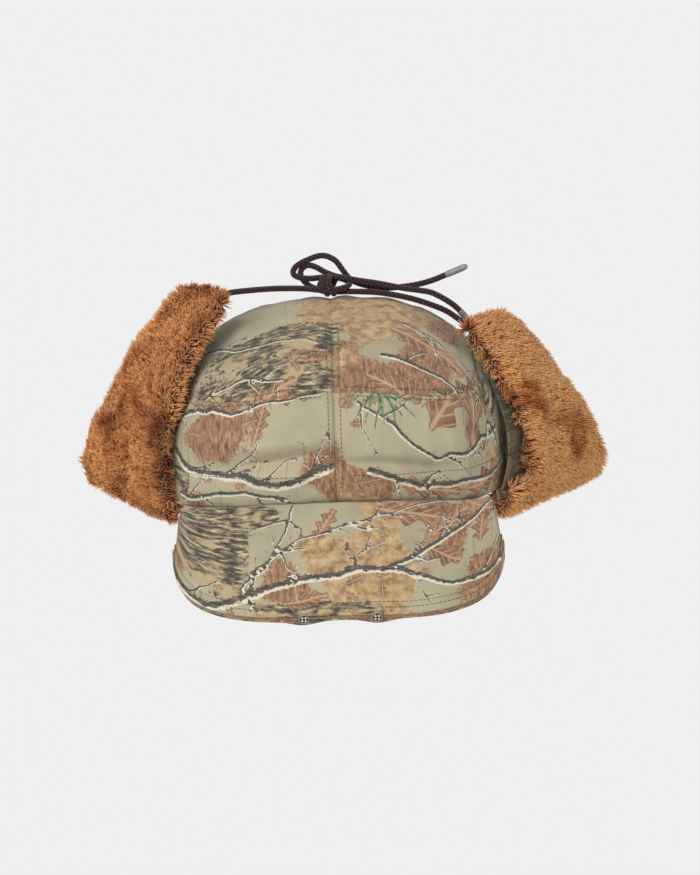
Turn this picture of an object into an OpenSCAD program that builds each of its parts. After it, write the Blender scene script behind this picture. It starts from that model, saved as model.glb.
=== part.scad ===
// Trapper hat with a lighted brim: camouflage crown, fur ear flaps and neck
// flap folded up, and a braided tie cord knotted over the crown.
// X runs across the hat, -Y is the front and +Z is up. The origin is the
// centre of the head opening.

/* [Crown] */
// Half width of the crown at the sweatband
crown_half_w = 100; // [98:1:101]
// Half depth of the crown, front to back
crown_half_d = 88; // [87:1:89]
// Height of the crown above the head opening
crown_h = 80; // [79:1:81]
// Thickness of the outer cloth
cloth_t = 1.6; // [1.0:0.1:1.7]
// Thickness of the quilted lining
lining_t = 2.0; // [1:0.1:2.2]
// Height of the sweatband, as a share of the crown's profile
sweatband_share = 0.17; // [0.12:0.01:0.2]

/* [Brim] */
// Half width of the brim at its widest
brim_half_w = 92.5; // [91:0.5:94]
// Reach of the brim's front edge ahead of its widest point
brim_reach = 65; // [62:1:66]
// Thickness of the brim's plastic stiffener
stiffener_t = 1.8; // [1.2:0.1:1.8]
// Distance between the two lights
light_spacing = 41.4; // [36:0.2:46]
// Diameter of one light's lens
lens_d = 5; // [4:0.1:5]

/* [Battery case] */
// Width of the battery case
case_w = 46; // [45:1:48]
// Depth of the battery case
case_d = 36; // [36:1:37]
// Diameter of a coin cell
cell_d = 20; // [16:1:20]
// Thickness of a coin cell
cell_t = 3.2; // [1.6:0.1:3.2]
// Radius of the switch button
button_r = 3; // [2:0.1:3]

/* [Flaps] */
// Thickness of the fur pile on the flaps
fur_t = 9; // [6:0.5:10]
// Thickness of the wadding in the flaps
wadding_t = 2.6; // [1:0.1:3]
// How far an ear flap bows outwards at its front edge
bow_front = 18; // [16:1:20]
// How far an ear flap bows outwards at its rear edge
bow_rear = 9; // [8:1:12]
// Height of the folded neck flap
neck_flap_h = 47; // [44:1:56]

/* [Tie cord] */
// Diameter of the braided cord
cord_d = 3.4; // [3:0.1:3.6]
// Diameter of an aglet
aglet_d = 3.8; // [3.6:0.1:4.2]

/* [Hidden] */
gap = 0.3;
sweatband_gap = 1.7;
plan_exp = 2.6;
profile_exp = 2.3;
rim_side_z = -12;
rim_front_z = 8;
brim_end_phi = 57;
brim_drop = 30;
seam_gap_phi = 0.012;
seam_side_t = 0.40;
seam_front_rise = 0.155;
seam_back_rise = 0.05;
panel_end_phi = 75;
panel_gap_phi = 0.2;
crown_top_t = 0.994;
brim_wide_y = -86;
brim_root_y = -87;
brim_arch = 29;
brim_arch_fall = 19;
brim_arch_y = -54;
brim_arch_run = 97;
brim_arch_x = 90;
brim_crest = 2;

// Ear flap corners: front and rear of the fold line, then front and rear of the tip.
left_flap = [[-90, -50, -14], [-139, 12, -22], [-60, 8, 84], [-80, 36, 76]];
right_flap = [[90, -50, -14], [146, 14, -22], [76, 10, 60], [96, 36, 54]];
left_out = [-0.78, -0.62, 0.05];
right_out = [0.76, -0.65, 0.05];
flap_start = 0.085;
shell_layer = [0, 1.2];
wadding_layer = [1.4, 1.4 + wadding_t];
fur_layer = [1.6 + wadding_t, 1.6 + wadding_t + fur_t];

// Neck flap: fold line behind the crown, and the top edge.
neck_half_w = 78;
neck_y = 98;
neck_z = -16;
neck_top_half_w = 64;
neck_top_y = 82;
neck_top_curve = 14;
neck_top_rise = 6;
neck_bow = 5;

// Stations of the fixed band: rim angle and the point on the fold line.
band_stations = [
    [-66, mix(left_flap[0], left_flap[1], 0.1)],
    [-100, left_flap[1]],
    [-132, [-112, 64, -20]],
    [-152, [-72, neck_y, neck_z]],
    [-180, [0, neck_y + 2, neck_z]],
    [-208, [72, neck_y, neck_z]],
    [-228, [114, 66, -20]],
    [-260, right_flap[1]],
    [-294, mix(right_flap[0], right_flap[1], 0.1)]
];
band_shell_layer = [0, 1.2];
band_fur_layer = [1.4, 6.4];
band_reach = 0.77;

// Layers of the brim, measured up from the middle of the stiffener.
top_layer = [stiffener_t / 2 + 0.3, stiffener_t / 2 + 1.3];
core_layer = [-stiffener_t / 2, stiffener_t / 2];
under_layer = [-4.6, -3.6];
piping_r = 1.6;

// Light and case positions.
light_y = -150.5;
light_z = -30;
light_tilt = 12;
bezel_wall = 0.7;
bezel_len = 4;
wire_r = 0.7;
wire_layer = -2.6;
// Route of a light's wire from the battery case to the light: share across, share out.
wire_route = [
    [0.136, 0.25], [0.155, 0.27], [0.165, 0.33], [0.165, 0.42], [0.16, 0.52],
    [0.145, 0.62], [0.12, 0.71], [0.095, 0.79], [0.08, 0.86]
];
case_place = [0, -114, -5.5];
case_top = -3.2;
case_bottom = -9.4;
case_wall = 0.9;
cell_y = -6;
cell_x = 10.6;
board_y = 12.4;
button_top = -7.6;
button_bottom = -10.8;
cover_z = [-9.3, -8.2];
screw_r = 1.1;

// Tie cord routes, from each flap's tip to the knot and on.
knot_x = [-5, 1];
knot_yz = [36, 83];
knot_r = 5.4;
left_lead = [
    [-66, 19, 84], [-59, 23, 86.5], [-45, 28, 85.5], [-30, 31, 84.5], [-15, 33, 83.5], [-5.3, 34, 82.5]
];
left_bow = [
    [-5.3, 38, 85.5], [-12, 38, 85.5], [-18, 39, 86.5], [-21, 40.5, 89], [-19, 42.5, 92.5],
    [-12, 44.5, 95.5], [-4, 46, 97], [3, 45.5, 94], [7.5, 44, 88], [12, 42.8, 82.5],
    [20, 42.2, 79], [31, 42, 77], [46, 42, 78], [57, 41.2, 81], [66, 40.5, 85]
];
left_aglet = [[66.3, 40.5, 85.1], [77, 40, 90]];
right_lead = [
    [80, 20, 60.5], [74, 25, 63], [66, 29, 67.5], [56, 31, 71.5], [44, 32, 75.5], [28, 33.5, 78.5],
    [14, 34.3, 79.3], [1.4, 34.5, 79.5]
];
right_bow = [
    [1.4, 37.8, 84], [8, 38, 84], [16, 37.6, 83.8], [28, 36.5, 82.8], [40, 35, 80.5],
    [49, 33.5, 79.5], [57, 32, 78.5], [64, 31, 75], [69.5, 30.5, 71], [73, 30.3, 67.5]
];
right_aglet = [[73.2, 30.3, 67.2], [80.5, 30, 57.5]];

// ---- Small helpers ----

function mix(a, b, k) = a + (b - a) * k;
function spow(v, e) = sign(v) * pow(abs(v), e);
function unit(v) = v / norm(v);
function steps(a, b, n) = [for (i = [0:n]) a + (b - a) * i / n];

// ---- Shapes of the hat ----

// Height of the crown's lower edge at an angle from the front.
function rim_z(phi) = rim_side_z + (rim_front_z - rim_side_z) * pow(max(0, cos(phi)), 2.5);

// Point on the crown: phi from the front, t from the rim to the top, off inwards.
function crown_pt(phi, t, off) =
    let(
        rho = pow(max(0, cos(90 * t)), 2 / profile_exp),
        rise = pow(sin(90 * t), 2 / profile_exp),
        base = rim_z(phi)
    )
    [
        (crown_half_w - off) * rho * spow(sin(phi), 2 / plan_exp),
        -(crown_half_d - off) * rho * spow(cos(phi), 2 / plan_exp),
        base + (crown_h - off - base) * rise
    ];

// Where the front and back panels meet the top panels.
function seam_t(phi) =
    seam_side_t + (cos(phi) > 0 ? seam_front_rise : seam_back_rise) * pow(cos(phi), 2);

// Outline of the brim's free edge, by an angle that runs from side to side.
function brim_edge(psi) =
    let(
        x = brim_half_w * spow(sin(psi), 2 / 3),
        y = brim_wide_y - brim_reach * spow(cos(psi), 2 / 3),
        arch = brim_arch - brim_arch_fall * (brim_arch_y - y) / brim_arch_run
    )
    [x, y, rim_front_z + (y - brim_root_y) * tan(brim_drop) - arch * pow(x / brim_arch_x, 2)];

// Point on the brim: u across from -1 to 1, v out from the seam.
function brim_mid(u, v) =
    mix(crown_pt(brim_end_phi * u, 0, -1), brim_edge(90 * u), v) + [0, 0, brim_crest * sin(180 * v)];

function brim_normal(u, v) =
    let(
        du = 0.01,
        across = brim_mid(min(1, u + du), v) - brim_mid(max(-1, u - du), v),
        out = brim_mid(u, min(1, v + du)) - brim_mid(u, max(0, v - du))
    )
    unit(cross(out, across));

function brim_pt(u, v, layer) = brim_mid(u, v) + brim_normal(u, v) * layer;

// Point on an ear flap: s from front to rear, t from the fold line to the tip.
function flap_mid(corners, out, s, t) =
    mix(mix(corners[0], corners[1], s), mix(corners[2], corners[3], s), t)
    + out * mix(bow_front, bow_rear, s) * 4 * t * (1 - t);

function flap_normal(corners, out, s, t) =
    let(
        d = 0.01,
        along = flap_mid(corners, out, s + d, t) - flap_mid(corners, out, s - d, t),
        up = flap_mid(corners, out, s, t + d) - flap_mid(corners, out, s, t - d),
        n = unit(cross(along, up))
    )
    n * out > 0 ? n : -n;

function flap_pt(corners, out, s, t, layer) =
    flap_mid(corners, out, s, t) + flap_normal(corners, out, s, t) * layer;

// Point on the neck flap: s across from -1 to 1, t up from the fold line.
function neck_mid(s, t) =
    mix(
        [neck_half_w * s, neck_y - 2, neck_z],
        [
            neck_top_half_w * s,
            neck_top_y - neck_top_curve * s * s,
            neck_z + neck_flap_h + neck_top_rise * (1 - s * s)
        ],
        t
    ) + [0, neck_bow * sin(180 * t), 0];

function neck_pt(s, t, layer) =
    let(
        d = 0.01,
        across = neck_mid(s + d, t) - neck_mid(s - d, t),
        up = neck_mid(s, t + d) - neck_mid(s, t - d)
    )
    neck_mid(s, t) + unit(cross(up, across)) * layer;

// ---- Solids from grids of points ----

function grid_faces(rows, cols, base, flip) = [
    for (i = [0:rows - 2], j = [0:cols - 2])
        let(a = base + i * cols + j, b = a + 1, c = a + cols + 1, d = a + cols)
        each flip ? [[a, b, c], [a, c, d]] : [[a, c, b], [a, d, c]]
];

function grid_border(rows, cols) = concat(
    [for (j = [0:cols - 1]) j],
    [for (i = [1:rows - 1]) i * cols + cols - 1],
    [for (j = [cols - 2:-1:0]) (rows - 1) * cols + j],
    [for (i = [rows - 2:-1:1]) i * cols]
);

// A closed sheet between two grids of the same shape.
module sheet(outer, inner) {
    rows = len(outer);
    cols = len(outer[0]);
    n = rows * cols;
    i = floor((rows - 1) / 2);
    j = floor((cols - 1) / 2);
    across = outer[i][j + 1] - outer[i][j];
    down = outer[i + 1][j] - outer[i][j];
    outwards = cross(across, down) * (outer[i][j] - inner[i][j]) > 0;
    border = grid_border(rows, cols);
    m = len(border);
    walls = [
        for (k = [0:m - 1])
            let(a = border[k], b = border[(k + 1) % m])
            each outwards ? [[a, b, b + n], [a, b + n, a + n]] : [[a, b + n, b], [a, a + n, b + n]]
    ];
    polyhedron(
        points = concat([for (row = outer) each row], [for (row = inner) each row]),
        faces = concat(
            grid_faces(rows, cols, 0, !outwards),
            grid_faces(rows, cols, n, outwards),
            walls
        ),
        convexity = 8
    );
}

// A panel of the crown between two angles, and between two heights given as lists.
module crown_panel(phis, low, high, n, off, thick) {
    grid = [for (i = [0:len(phis) - 1]) [for (k = [0:n]) mix(low[i], high[i], k / n)]];
    sheet(
        [for (i = [0:len(phis) - 1]) [for (t = grid[i]) crown_pt(phis[i], t, off)]],
        [for (i = [0:len(phis) - 1]) [for (t = grid[i]) crown_pt(phis[i], t, off + thick)]]
    );
}

module crown_front(side) {
    phis = [for (p = steps(seam_gap_phi, panel_end_phi - panel_gap_phi, 10)) side * p];
    color("darkkhaki")
        crown_panel(phis, [for (p = phis) 0], [for (p = phis) seam_t(p) - 0.003], 6, 0, cloth_t);
}

module crown_back(side) {
    phis = [for (p = steps(panel_end_phi + panel_gap_phi, 180 - seam_gap_phi, 14)) side * p];
    color("darkolivegreen")
        crown_panel(phis, [for (p = phis) 0], [for (p = phis) seam_t(p) - 0.003], 5, 0, cloth_t);
}

module crown_top(side) {
    phis = [for (p = steps(seam_gap_phi, 180 - seam_gap_phi, 22)) side * p];
    color("tan")
        crown_panel(phis, [for (p = phis) seam_t(p)], [for (p = phis) crown_top_t], 6, 0, cloth_t);
}

module lining(side) {
    phis = [for (p = steps(seam_gap_phi, 180 - seam_gap_phi, 20)) side * p];
    color("saddlebrown")
        crown_panel(
            phis, [for (p = phis) 0.01], [for (p = phis) crown_top_t], 8, cloth_t + gap + 0.2, lining_t
        );
}

module sweatband() {
    phis = steps(seam_gap_phi - 180, 180 - seam_gap_phi, 40);
    color("black")
        crown_panel(
            phis, [for (p = phis) 0.012], [for (p = phis) sweatband_share], 2,
            cloth_t + lining_t + sweatband_gap, 1.4
        );
}

// ---- Brim ----

module brim_layer(layer, edge, u_edge) {
    us = steps(-u_edge, u_edge, 20);
    vs = steps(0.03, edge, 6);
    sheet(
        [for (u = us) [for (v = vs) brim_pt(u, v, layer[1])]],
        [for (u = us) [for (v = vs) brim_pt(u, v, layer[0])]]
    );
}

module at_light(side) {
    translate([side * light_spacing / 2, light_y, light_z])
        rotate([90 + light_tilt, 0, 0])
            children();
}

module light_holes() {
    for (side = [-1, 1])
        at_light(side)
            translate([0, 0, -12])
                cylinder(r = lens_d / 2 + bezel_wall + gap, h = 24, $fn = 40);
}

module at_case() {
    translate(case_place)
        rotate([brim_drop, 0, 0])
            children();
}

module brim_top_cover() {
    color("darkkhaki")
        difference() {
            brim_layer(top_layer, 1, 1);
            light_holes();
        }
}

module brim_stiffener() {
    color("white")
        brim_layer(core_layer, 0.92, 0.92);
}

module brim_under_cover() {
    color("olive")
        difference() {
            brim_layer(under_layer, 0.985, 0.99);
            light_holes();
            at_case()
                translate([-case_w / 2 - 1.5, -case_d / 2 - 1, case_bottom - 4])
                    cube([case_w + 3, case_d + 2, 16]);
        }
}

module brim_piping() {
    route = [for (u = steps(-0.97, 0.97, 30)) brim_pt(u, 1, -2) + unit([u * 0.9, -1, 0]) * 1.2];
    color("olive")
        difference() {
            tube(route, piping_r, 8);
            light_holes();
        }
}

// ---- Tubes along a route ----

function smooth(p) = len(p) < 3 ? p : [
    for (i = [0:len(p) - 2])
        let(
            a = p[max(0, i - 1)], b = p[i], c = p[i + 1], d = p[min(len(p) - 1, i + 2)]
        )
        each [b, (-a + 9 * b + 9 * c - d) / 16],
    p[len(p) - 1]
];

function heading(p, i) = unit(p[min(len(p) - 1, i + 1)] - p[max(0, i - 1)]);

function frames(p, i, side) =
    i == len(p) ? [] :
        let(h = heading(p, i), s = unit(side - h * (side * h)))
        concat([[s, cross(h, s)]], frames(p, i + 1, s));

module tube(p, r, sides) {
    f = frames(p, 0, abs(heading(p, 0)[2]) > 0.9 ? [1, 0, 0] : [0, 0, 1]);
    n = len(p);
    rings = [
        for (i = [0:n - 1], k = [0:sides - 1])
            p[i] + r * (cos(360 * k / sides) * f[i][0] + sin(360 * k / sides) * f[i][1])
    ];
    skin = [
        for (i = [0:n - 2], k = [0:sides - 1])
            let(a = i * sides + k, b = i * sides + (k + 1) % sides)
            each [[a, b + sides, b], [a, a + sides, b + sides]]
    ];
    polyhedron(
        points = rings,
        faces = concat(
            [[for (k = [0:sides - 1]) k]],
            skin,
            [[for (k = [sides - 1:-1:0]) (n - 1) * sides + k]]
        ),
        convexity = 8
    );
}

// ---- Lights and battery case ----

module light_bezel(side) {
    color("black")
        at_light(side)
            difference() {
                cylinder(r = lens_d / 2 + bezel_wall, h = bezel_len, center = true, $fn = 40);
                cylinder(r = lens_d / 2 + 0.05, h = bezel_len + 1, center = true, $fn = 40);
            }
}

module light_lens(side) {
    color("whitesmoke")
        at_light(side) {
            translate([0, 0, -5])
                cylinder(r = lens_d / 2, h = 6.4, $fn = 40);
        }
}

module light_wire(side) {
    route = [for (p = wire_route) brim_pt(side * p[0], p[1], wire_layer)];
    color("red")
        tube(route, wire_r, 8);
}

module battery_case() {
    color([0.15, 0.15, 0.15])
        at_case()
            difference() {
                translate([-case_w / 2, -case_d / 2, case_bottom])
                    cube([case_w, case_d, case_top - case_bottom]);
                for (x = [-cell_x, cell_x])
                    translate([x, cell_y, case_bottom - 1])
                        cylinder(r = cell_d / 2 + gap, h = case_top - case_wall - case_bottom + 1, $fn = 60);
                translate([-case_w / 2 + 1, -case_d / 2 + 1, case_bottom - 1])
                    cube([case_w - 2, 22.6, cover_z[1] - case_bottom + 1 + 0.1]);
                translate([-20, board_y - 4.6, case_bottom + 1])
                    cube([40, 9.2, case_top - case_wall - case_bottom - 1]);
                translate([0, board_y, case_bottom - 1])
                    cylinder(r = button_r + 0.1, h = 3, $fn = 40);
                translate([-cell_x - 4.3, cell_y - 2.3, case_top - case_wall - 1])
                    cube([2 * cell_x + 8.6, 4.6, 1]);
            }
}

module battery_cover() {
    color([0.2, 0.2, 0.2])
        at_case()
            difference() {
                translate([-case_w / 2 + 1.2, -case_d / 2 + 1.2, cover_z[0]])
                    cube([case_w - 2.4, 22.2, cover_z[1] - cover_z[0]]);
                translate([0, -case_d / 2 + 3.6, case_bottom - 1])
                    cylinder(r = screw_r + 0.1, h = 4, $fn = 32);
            }
}

module cover_screw() {
    color("silver")
        at_case()
            translate([0, -case_d / 2 + 3.6, cover_z[0] - 0.6]) {
                cylinder(r = 1.9, h = 0.55, $fn = 32);
                cylinder(r = screw_r, h = 1.6, $fn = 32);
            }
}

module coin_cell(side) {
    color("gainsboro")
        at_case()
            translate([side * cell_x, cell_y, cover_z[1] + 0.15])
                cylinder(r = cell_d / 2, h = cell_t, $fn = 60);
}

module battery_contact() {
    color("gold")
        at_case()
            translate([-cell_x - 4, cell_y - 2, cover_z[1] + 0.3 + cell_t])
                cube([2 * cell_x + 8, 4, 0.3]);
}

module circuit_board() {
    color("green")
        at_case() {
            translate([-18, board_y - 4, -5.4])
                cube([36, 8, 0.8]);
            translate([-2.5, board_y - 2.5, -6.3])
                cube([5, 5, 1]);
        }
}

module switch_button() {
    color("black")
        at_case()
            translate([0, board_y, button_bottom]) {
                cylinder(r = button_r, h = button_top - button_bottom, $fn = 40);
                translate([0, 0, button_top - button_bottom - 0.6])
                    cylinder(r = button_r + 0.8, h = 0.6, $fn = 40);
            }
}

// ---- Fixed band below the crown ----

// Stations along the band, two between each listed pair.
function band_rows() = [
    for (i = [0:len(band_stations) - 2], k = [0:2])
        let(a = band_stations[i], b = band_stations[i + 1])
        [mix(a[0], b[0], k / 3), mix(a[1], b[1], k / 3)],
    band_stations[len(band_stations) - 1]
];

function band_mid(row, v) =
    let(rim = crown_pt(row[0], 0, 1) - [0, 0, 1], fold = row[1])
    mix(rim, fold, v * band_reach) + [0, 0, -3 * sin(180 * v)];

function band_down(row) =
    let(
        rim = crown_pt(row[0], 0, 1),
        out = unit([row[1][0], row[1][1], 0] - [rim[0], rim[1], 0] * 0.5),
        fall = unit(row[1] - rim)
    )
    unit(cross(cross(fall, [0, 0, 1]), fall) * -1 - out * 0.1);

module band(layer) {
    rows = band_rows();
    sheet(
        [for (row = rows) [for (v = steps(0, 1, 3)) band_mid(row, v) + band_down(row) * layer[0]]],
        [for (row = rows) [for (v = steps(0, 1, 3)) band_mid(row, v) + band_down(row) * layer[1]]]
    );
}

// ---- Flaps ----

// One layer of an ear flap: side is -1 for the flap at -X.
module ear_flap(side, layer) {
    corners = side < 0 ? left_flap : right_flap;
    out = side < 0 ? left_out : right_out;
    ss = steps(0, 1, 6);
    ts = steps(flap_start, 1, 8);
    sheet(
        [for (s = ss) [for (t = ts) flap_pt(corners, out, s, t, layer[1])]],
        [for (s = ss) [for (t = ts) flap_pt(corners, out, s, t, layer[0])]]
    );
}

module ear_flap_shell(side) {
    color("darkkhaki")
        ear_flap(side, shell_layer);
}

module ear_flap_wadding(side) {
    color("white")
        ear_flap(side, wadding_layer);
}

module ear_flap_fur(side) {
    color("chocolate")
        ear_flap(side, fur_layer);
}

module neck_flap(layer) {
    ss = steps(-1, 1, 12);
    ts = steps(0.13, 1, 5);
    sheet(
        [for (s = ss) [for (t = ts) neck_pt(s, t, layer[1])]],
        [for (s = ss) [for (t = ts) neck_pt(s, t, layer[0])]]
    );
}

// ---- Tie cord ----

module cord(route) {
    color([0.24, 0.14, 0.14])
        tube(smooth(route), cord_d / 2, 8);
}

module aglet(ends) {
    axis = ends[1] - ends[0];
    color("gray")
        translate(ends[0])
            rotate([0, acos(axis[2] / norm(axis)), atan2(axis[1], axis[0])])
                cylinder(r = aglet_d / 2, h = norm(axis), $fn = 32);
}

module tie_knot() {
    color([0.22, 0.13, 0.13])
        translate([knot_x[0], knot_yz[0], knot_yz[1]])
            rotate([0, 90, 0])
                cylinder(r = knot_r, h = knot_x[1] - knot_x[0], $fn = 40);
}

crown_front(-1);  // crown_front_left
crown_front(1);  // crown_front_right
crown_top(-1);  // crown_top_left
crown_top(1);  // crown_top_right
crown_back(-1);  // crown_back_left
crown_back(1);  // crown_back_right
lining(-1);  // lining_left
lining(1);  // lining_right
sweatband();
brim_top_cover();
brim_stiffener();
brim_under_cover();
brim_piping();
light_bezel(-1);  // light_bezel_left
light_bezel(1);  // light_bezel_right
light_lens(-1);  // light_lens_left
light_lens(1);  // light_lens_right
light_wire(-1);  // light_wire_left
light_wire(1);  // light_wire_right
battery_case();
battery_cover();
cover_screw();
coin_cell(-1);  // coin_cell_left
coin_cell(1);  // coin_cell_right
battery_contact();
circuit_board();
switch_button();
color("darkkhaki") band(band_shell_layer);  // band_shell
color("chocolate") band(band_fur_layer);  // band_fur
ear_flap_shell(-1);  // ear_flap_left_shell
ear_flap_wadding(-1);  // ear_flap_left_wadding
ear_flap_fur(-1);  // ear_flap_left_fur
ear_flap_shell(1);  // ear_flap_right_shell
ear_flap_wadding(1);  // ear_flap_right_wadding
ear_flap_fur(1);  // ear_flap_right_fur
color("darkkhaki") neck_flap(shell_layer);  // neck_flap_shell
color("white") neck_flap(wadding_layer);  // neck_flap_wadding
color("chocolate") neck_flap(fur_layer);  // neck_flap_fur
cord(left_lead);  // tie_cord_left
cord(left_bow);  // tie_bow_left
tie_knot();
aglet(left_aglet);  // aglet_left
cord(right_lead);  // tie_cord_right
cord(right_bow);  // tie_bow_right
aglet(right_aglet);  // aglet_right
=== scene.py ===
from math import asin, atan2, cos, exp, pi, radians, sin, sqrt, tan
from random import Random

import bpy
import numpy as np
from bpy.props import FloatProperty, FloatVectorProperty, IntProperty, PointerProperty
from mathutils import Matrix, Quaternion, Vector, noise


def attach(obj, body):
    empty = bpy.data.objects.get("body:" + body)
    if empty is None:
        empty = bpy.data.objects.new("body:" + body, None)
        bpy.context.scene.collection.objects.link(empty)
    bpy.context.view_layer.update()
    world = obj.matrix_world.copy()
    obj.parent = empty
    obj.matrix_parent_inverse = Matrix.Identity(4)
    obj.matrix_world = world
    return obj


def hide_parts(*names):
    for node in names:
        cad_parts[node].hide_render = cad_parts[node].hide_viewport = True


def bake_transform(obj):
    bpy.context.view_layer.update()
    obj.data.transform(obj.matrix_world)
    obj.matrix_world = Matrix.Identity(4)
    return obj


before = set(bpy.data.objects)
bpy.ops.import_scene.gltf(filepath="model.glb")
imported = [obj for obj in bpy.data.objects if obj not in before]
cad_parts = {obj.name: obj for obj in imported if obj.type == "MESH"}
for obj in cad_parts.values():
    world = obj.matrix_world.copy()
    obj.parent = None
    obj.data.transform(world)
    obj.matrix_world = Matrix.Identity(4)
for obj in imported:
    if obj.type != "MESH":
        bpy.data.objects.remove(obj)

bl_info = {
    "name": "Trapper hat",
    "version": (1, 0, 0),
    "blender": (4, 5, 0),
    "location": "3D View > Sidebar > Hat",
    "description": "Builds a camouflage trapper hat with fur flaps and a lighted brim",
    "category": "Object",
}

MM = 0.001

# Driving sizes, the same as the model's.
CROWN_HALF_W = 100 * MM
CROWN_HALF_D = 88 * MM
CROWN_H = 80 * MM
PLAN_EXP = 2.6
PROFILE_EXP = 2.3
RIM_SIDE_Z = -12 * MM
RIM_FRONT_Z = 8 * MM
BRIM_HALF_W = 92.5 * MM
BRIM_REACH = 65 * MM
BRIM_DROP = radians(30)
BRIM_END = 57
LIGHT_X = 20.7 * MM
LIGHT_Y = -150.5 * MM
LIGHT_Z = -30 * MM
LIGHT_TILT = radians(2)
LENS_R = 2.5 * MM
BOW_FRONT = 18 * MM
BOW_REAR = 9 * MM
NECK_HALF_W = 78 * MM
NECK_TOP_HALF_W = 64 * MM
NECK_Y = 98 * MM
NECK_Z = -16 * MM
NECK_FLAP_H = 47 * MM
NECK_SAG = 6 * MM
CORD_R = 1.7 * MM


def mm(*values):
    """A point given in millimetres, as metres."""
    return Vector(values) * MM


def mix(a, b, k):
    return a + (b - a) * k


def signed_power(value, power):
    return abs(value) ** power * (1 if value >= 0 else -1)


def ease(k):
    """0 to 1, smoothly, and level outside that range."""
    k = min(1.0, max(0.0, k))
    return k * k * (3 - 2 * k)


def bell(distance, width):
    """A smooth bump, 1 at no distance."""
    return exp(-(distance / width) ** 2)


# ---- Shapes of the hat ----


def rim_z(phi):
    lift = max(0.0, cos(radians(phi))) ** 2.5
    return RIM_SIDE_Z + (RIM_FRONT_Z - RIM_SIDE_Z) * lift


def crown_point(phi, t, inset=0.0):
    """Point on the crown: phi in degrees from the front, t from the rim to the top."""
    angle = radians(phi)
    rho = max(0.0, cos(pi / 2 * t)) ** (2 / PROFILE_EXP)
    rise = sin(pi / 2 * min(1.0, t)) ** (2 / PROFILE_EXP)
    base = rim_z(phi)
    return Vector((
        (CROWN_HALF_W - inset) * rho * signed_power(sin(angle), 2 / PLAN_EXP),
        -(CROWN_HALF_D - inset) * rho * signed_power(cos(angle), 2 / PLAN_EXP),
        base + (CROWN_H - inset - base) * rise,
    ))


def seam_t(phi):
    c = cos(radians(phi))
    return 0.40 + (0.155 if c > 0 else 0.05) * c * c


def brim_edge(psi):
    x = BRIM_HALF_W * signed_power(sin(radians(psi)), 2 / 3)
    y = -86 * MM - BRIM_REACH * max(0.0, cos(radians(psi))) ** (2 / 3)
    arch = 29 * MM - 19 * MM * (-54 * MM - y) / (97 * MM)
    return Vector((x, y, RIM_FRONT_Z + (y + 87 * MM) * tan(BRIM_DROP) - arch * (x / (90 * MM)) ** 2))


def brim_middle(u, v):
    root = crown_point(BRIM_END * u, 0, -1 * MM)
    return root.lerp(brim_edge(90 * u), v) + mm(0, 0, 2 * sin(pi * v))


def brim_point(u, v, layer):
    d = 0.01
    across = brim_middle(min(1, u + d), v) - brim_middle(max(-1, u - d), v)
    out = brim_middle(u, min(1, v + d)) - brim_middle(u, max(0, v - d))
    return brim_middle(u, v) + out.cross(across).normalized() * layer


class Flap:
    """An ear flap: a ruled sheet from its fold line to its tip, bowed outwards."""

    def __init__(self, side, fold_front, fold_rear, tip_front, tip_rear, out, droop):
        self.side = side
        self.droop = droop * MM
        self.corners = (mm(*fold_front), mm(*fold_rear), mm(*tip_front), mm(*tip_rear))
        self.out = Vector(out)

    def middle(self, s, t):
        low = self.corners[0].lerp(self.corners[1], s)
        high = self.corners[2].lerp(self.corners[3], s)
        bow = self.out * (mix(BOW_FRONT, BOW_REAR, s) * 4 * t * (1 - t))
        return low.lerp(high, t) + bow - Vector((0, 0, self.droop * s * (1 - t)))

    def point(self, s, t, layer):
        d = 0.01
        along = self.middle(s + d, t) - self.middle(s - d, t)
        up = self.middle(s, t + d) - self.middle(s, t - d)
        normal = along.cross(up).normalized()
        if normal.dot(self.out) < 0:
            normal = -normal
        return self.middle(s, t) + normal * layer


FLAPS = {
    "left": Flap(-1, (-90, -50, -14), (-139, 12, -22), (-60, 8, 84), (-80, 36, 76), (-0.78, -0.62, 0.05), 0),
    "right": Flap(1, (90, -50, -14), (146, 14, -22), (76, 10, 60), (96, 36, 54), (0.76, -0.65, 0.05), 6),
}


def neck_middle(s, t):
    low = Vector((NECK_HALF_W * s, NECK_Y - 2 * MM, NECK_Z))
    high = Vector((
        NECK_TOP_HALF_W * s,
        82 * MM - 14 * MM * s * s,
        NECK_Z + NECK_FLAP_H - NECK_SAG + 6 * MM * (1 - s * s),
    ))
    return low.lerp(high, t) + mm(0, 5 * sin(pi * t), 0)


def neck_point(s, t, layer):
    d = 0.01
    across = neck_middle(s + d, t) - neck_middle(s - d, t)
    up = neck_middle(s, t + d) - neck_middle(s, t - d)
    return neck_middle(s, t) + up.cross(across).normalized() * layer


# Stations of the fixed band: rim angle, and the point on the fold line.
LEFT_FOLD = FLAPS["left"].corners
RIGHT_FOLD = FLAPS["right"].corners
BAND_STATIONS = [
    (-64, LEFT_FOLD[0].lerp(LEFT_FOLD[1], 0.04)),
    (-100, LEFT_FOLD[1]),
    (-132, mm(-112, 64, -20)),
    (-152, mm(-72, 98, -16)),
    (-180, mm(0, 100, -16)),
    (-208, mm(72, 98, -16)),
    (-228, mm(114, 66, -20)),
    (-260, RIGHT_FOLD[1]),
    (-296, RIGHT_FOLD[0].lerp(RIGHT_FOLD[1], 0.04)),
]


def band_row(k):
    """Rim angle and fold point at share k along the fixed band."""
    place = k * (len(BAND_STATIONS) - 1)
    i = min(int(place), len(BAND_STATIONS) - 2)
    a, b = BAND_STATIONS[i], BAND_STATIONS[i + 1]
    return mix(a[0], b[0], place - i), a[1].lerp(b[1], place - i)


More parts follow.
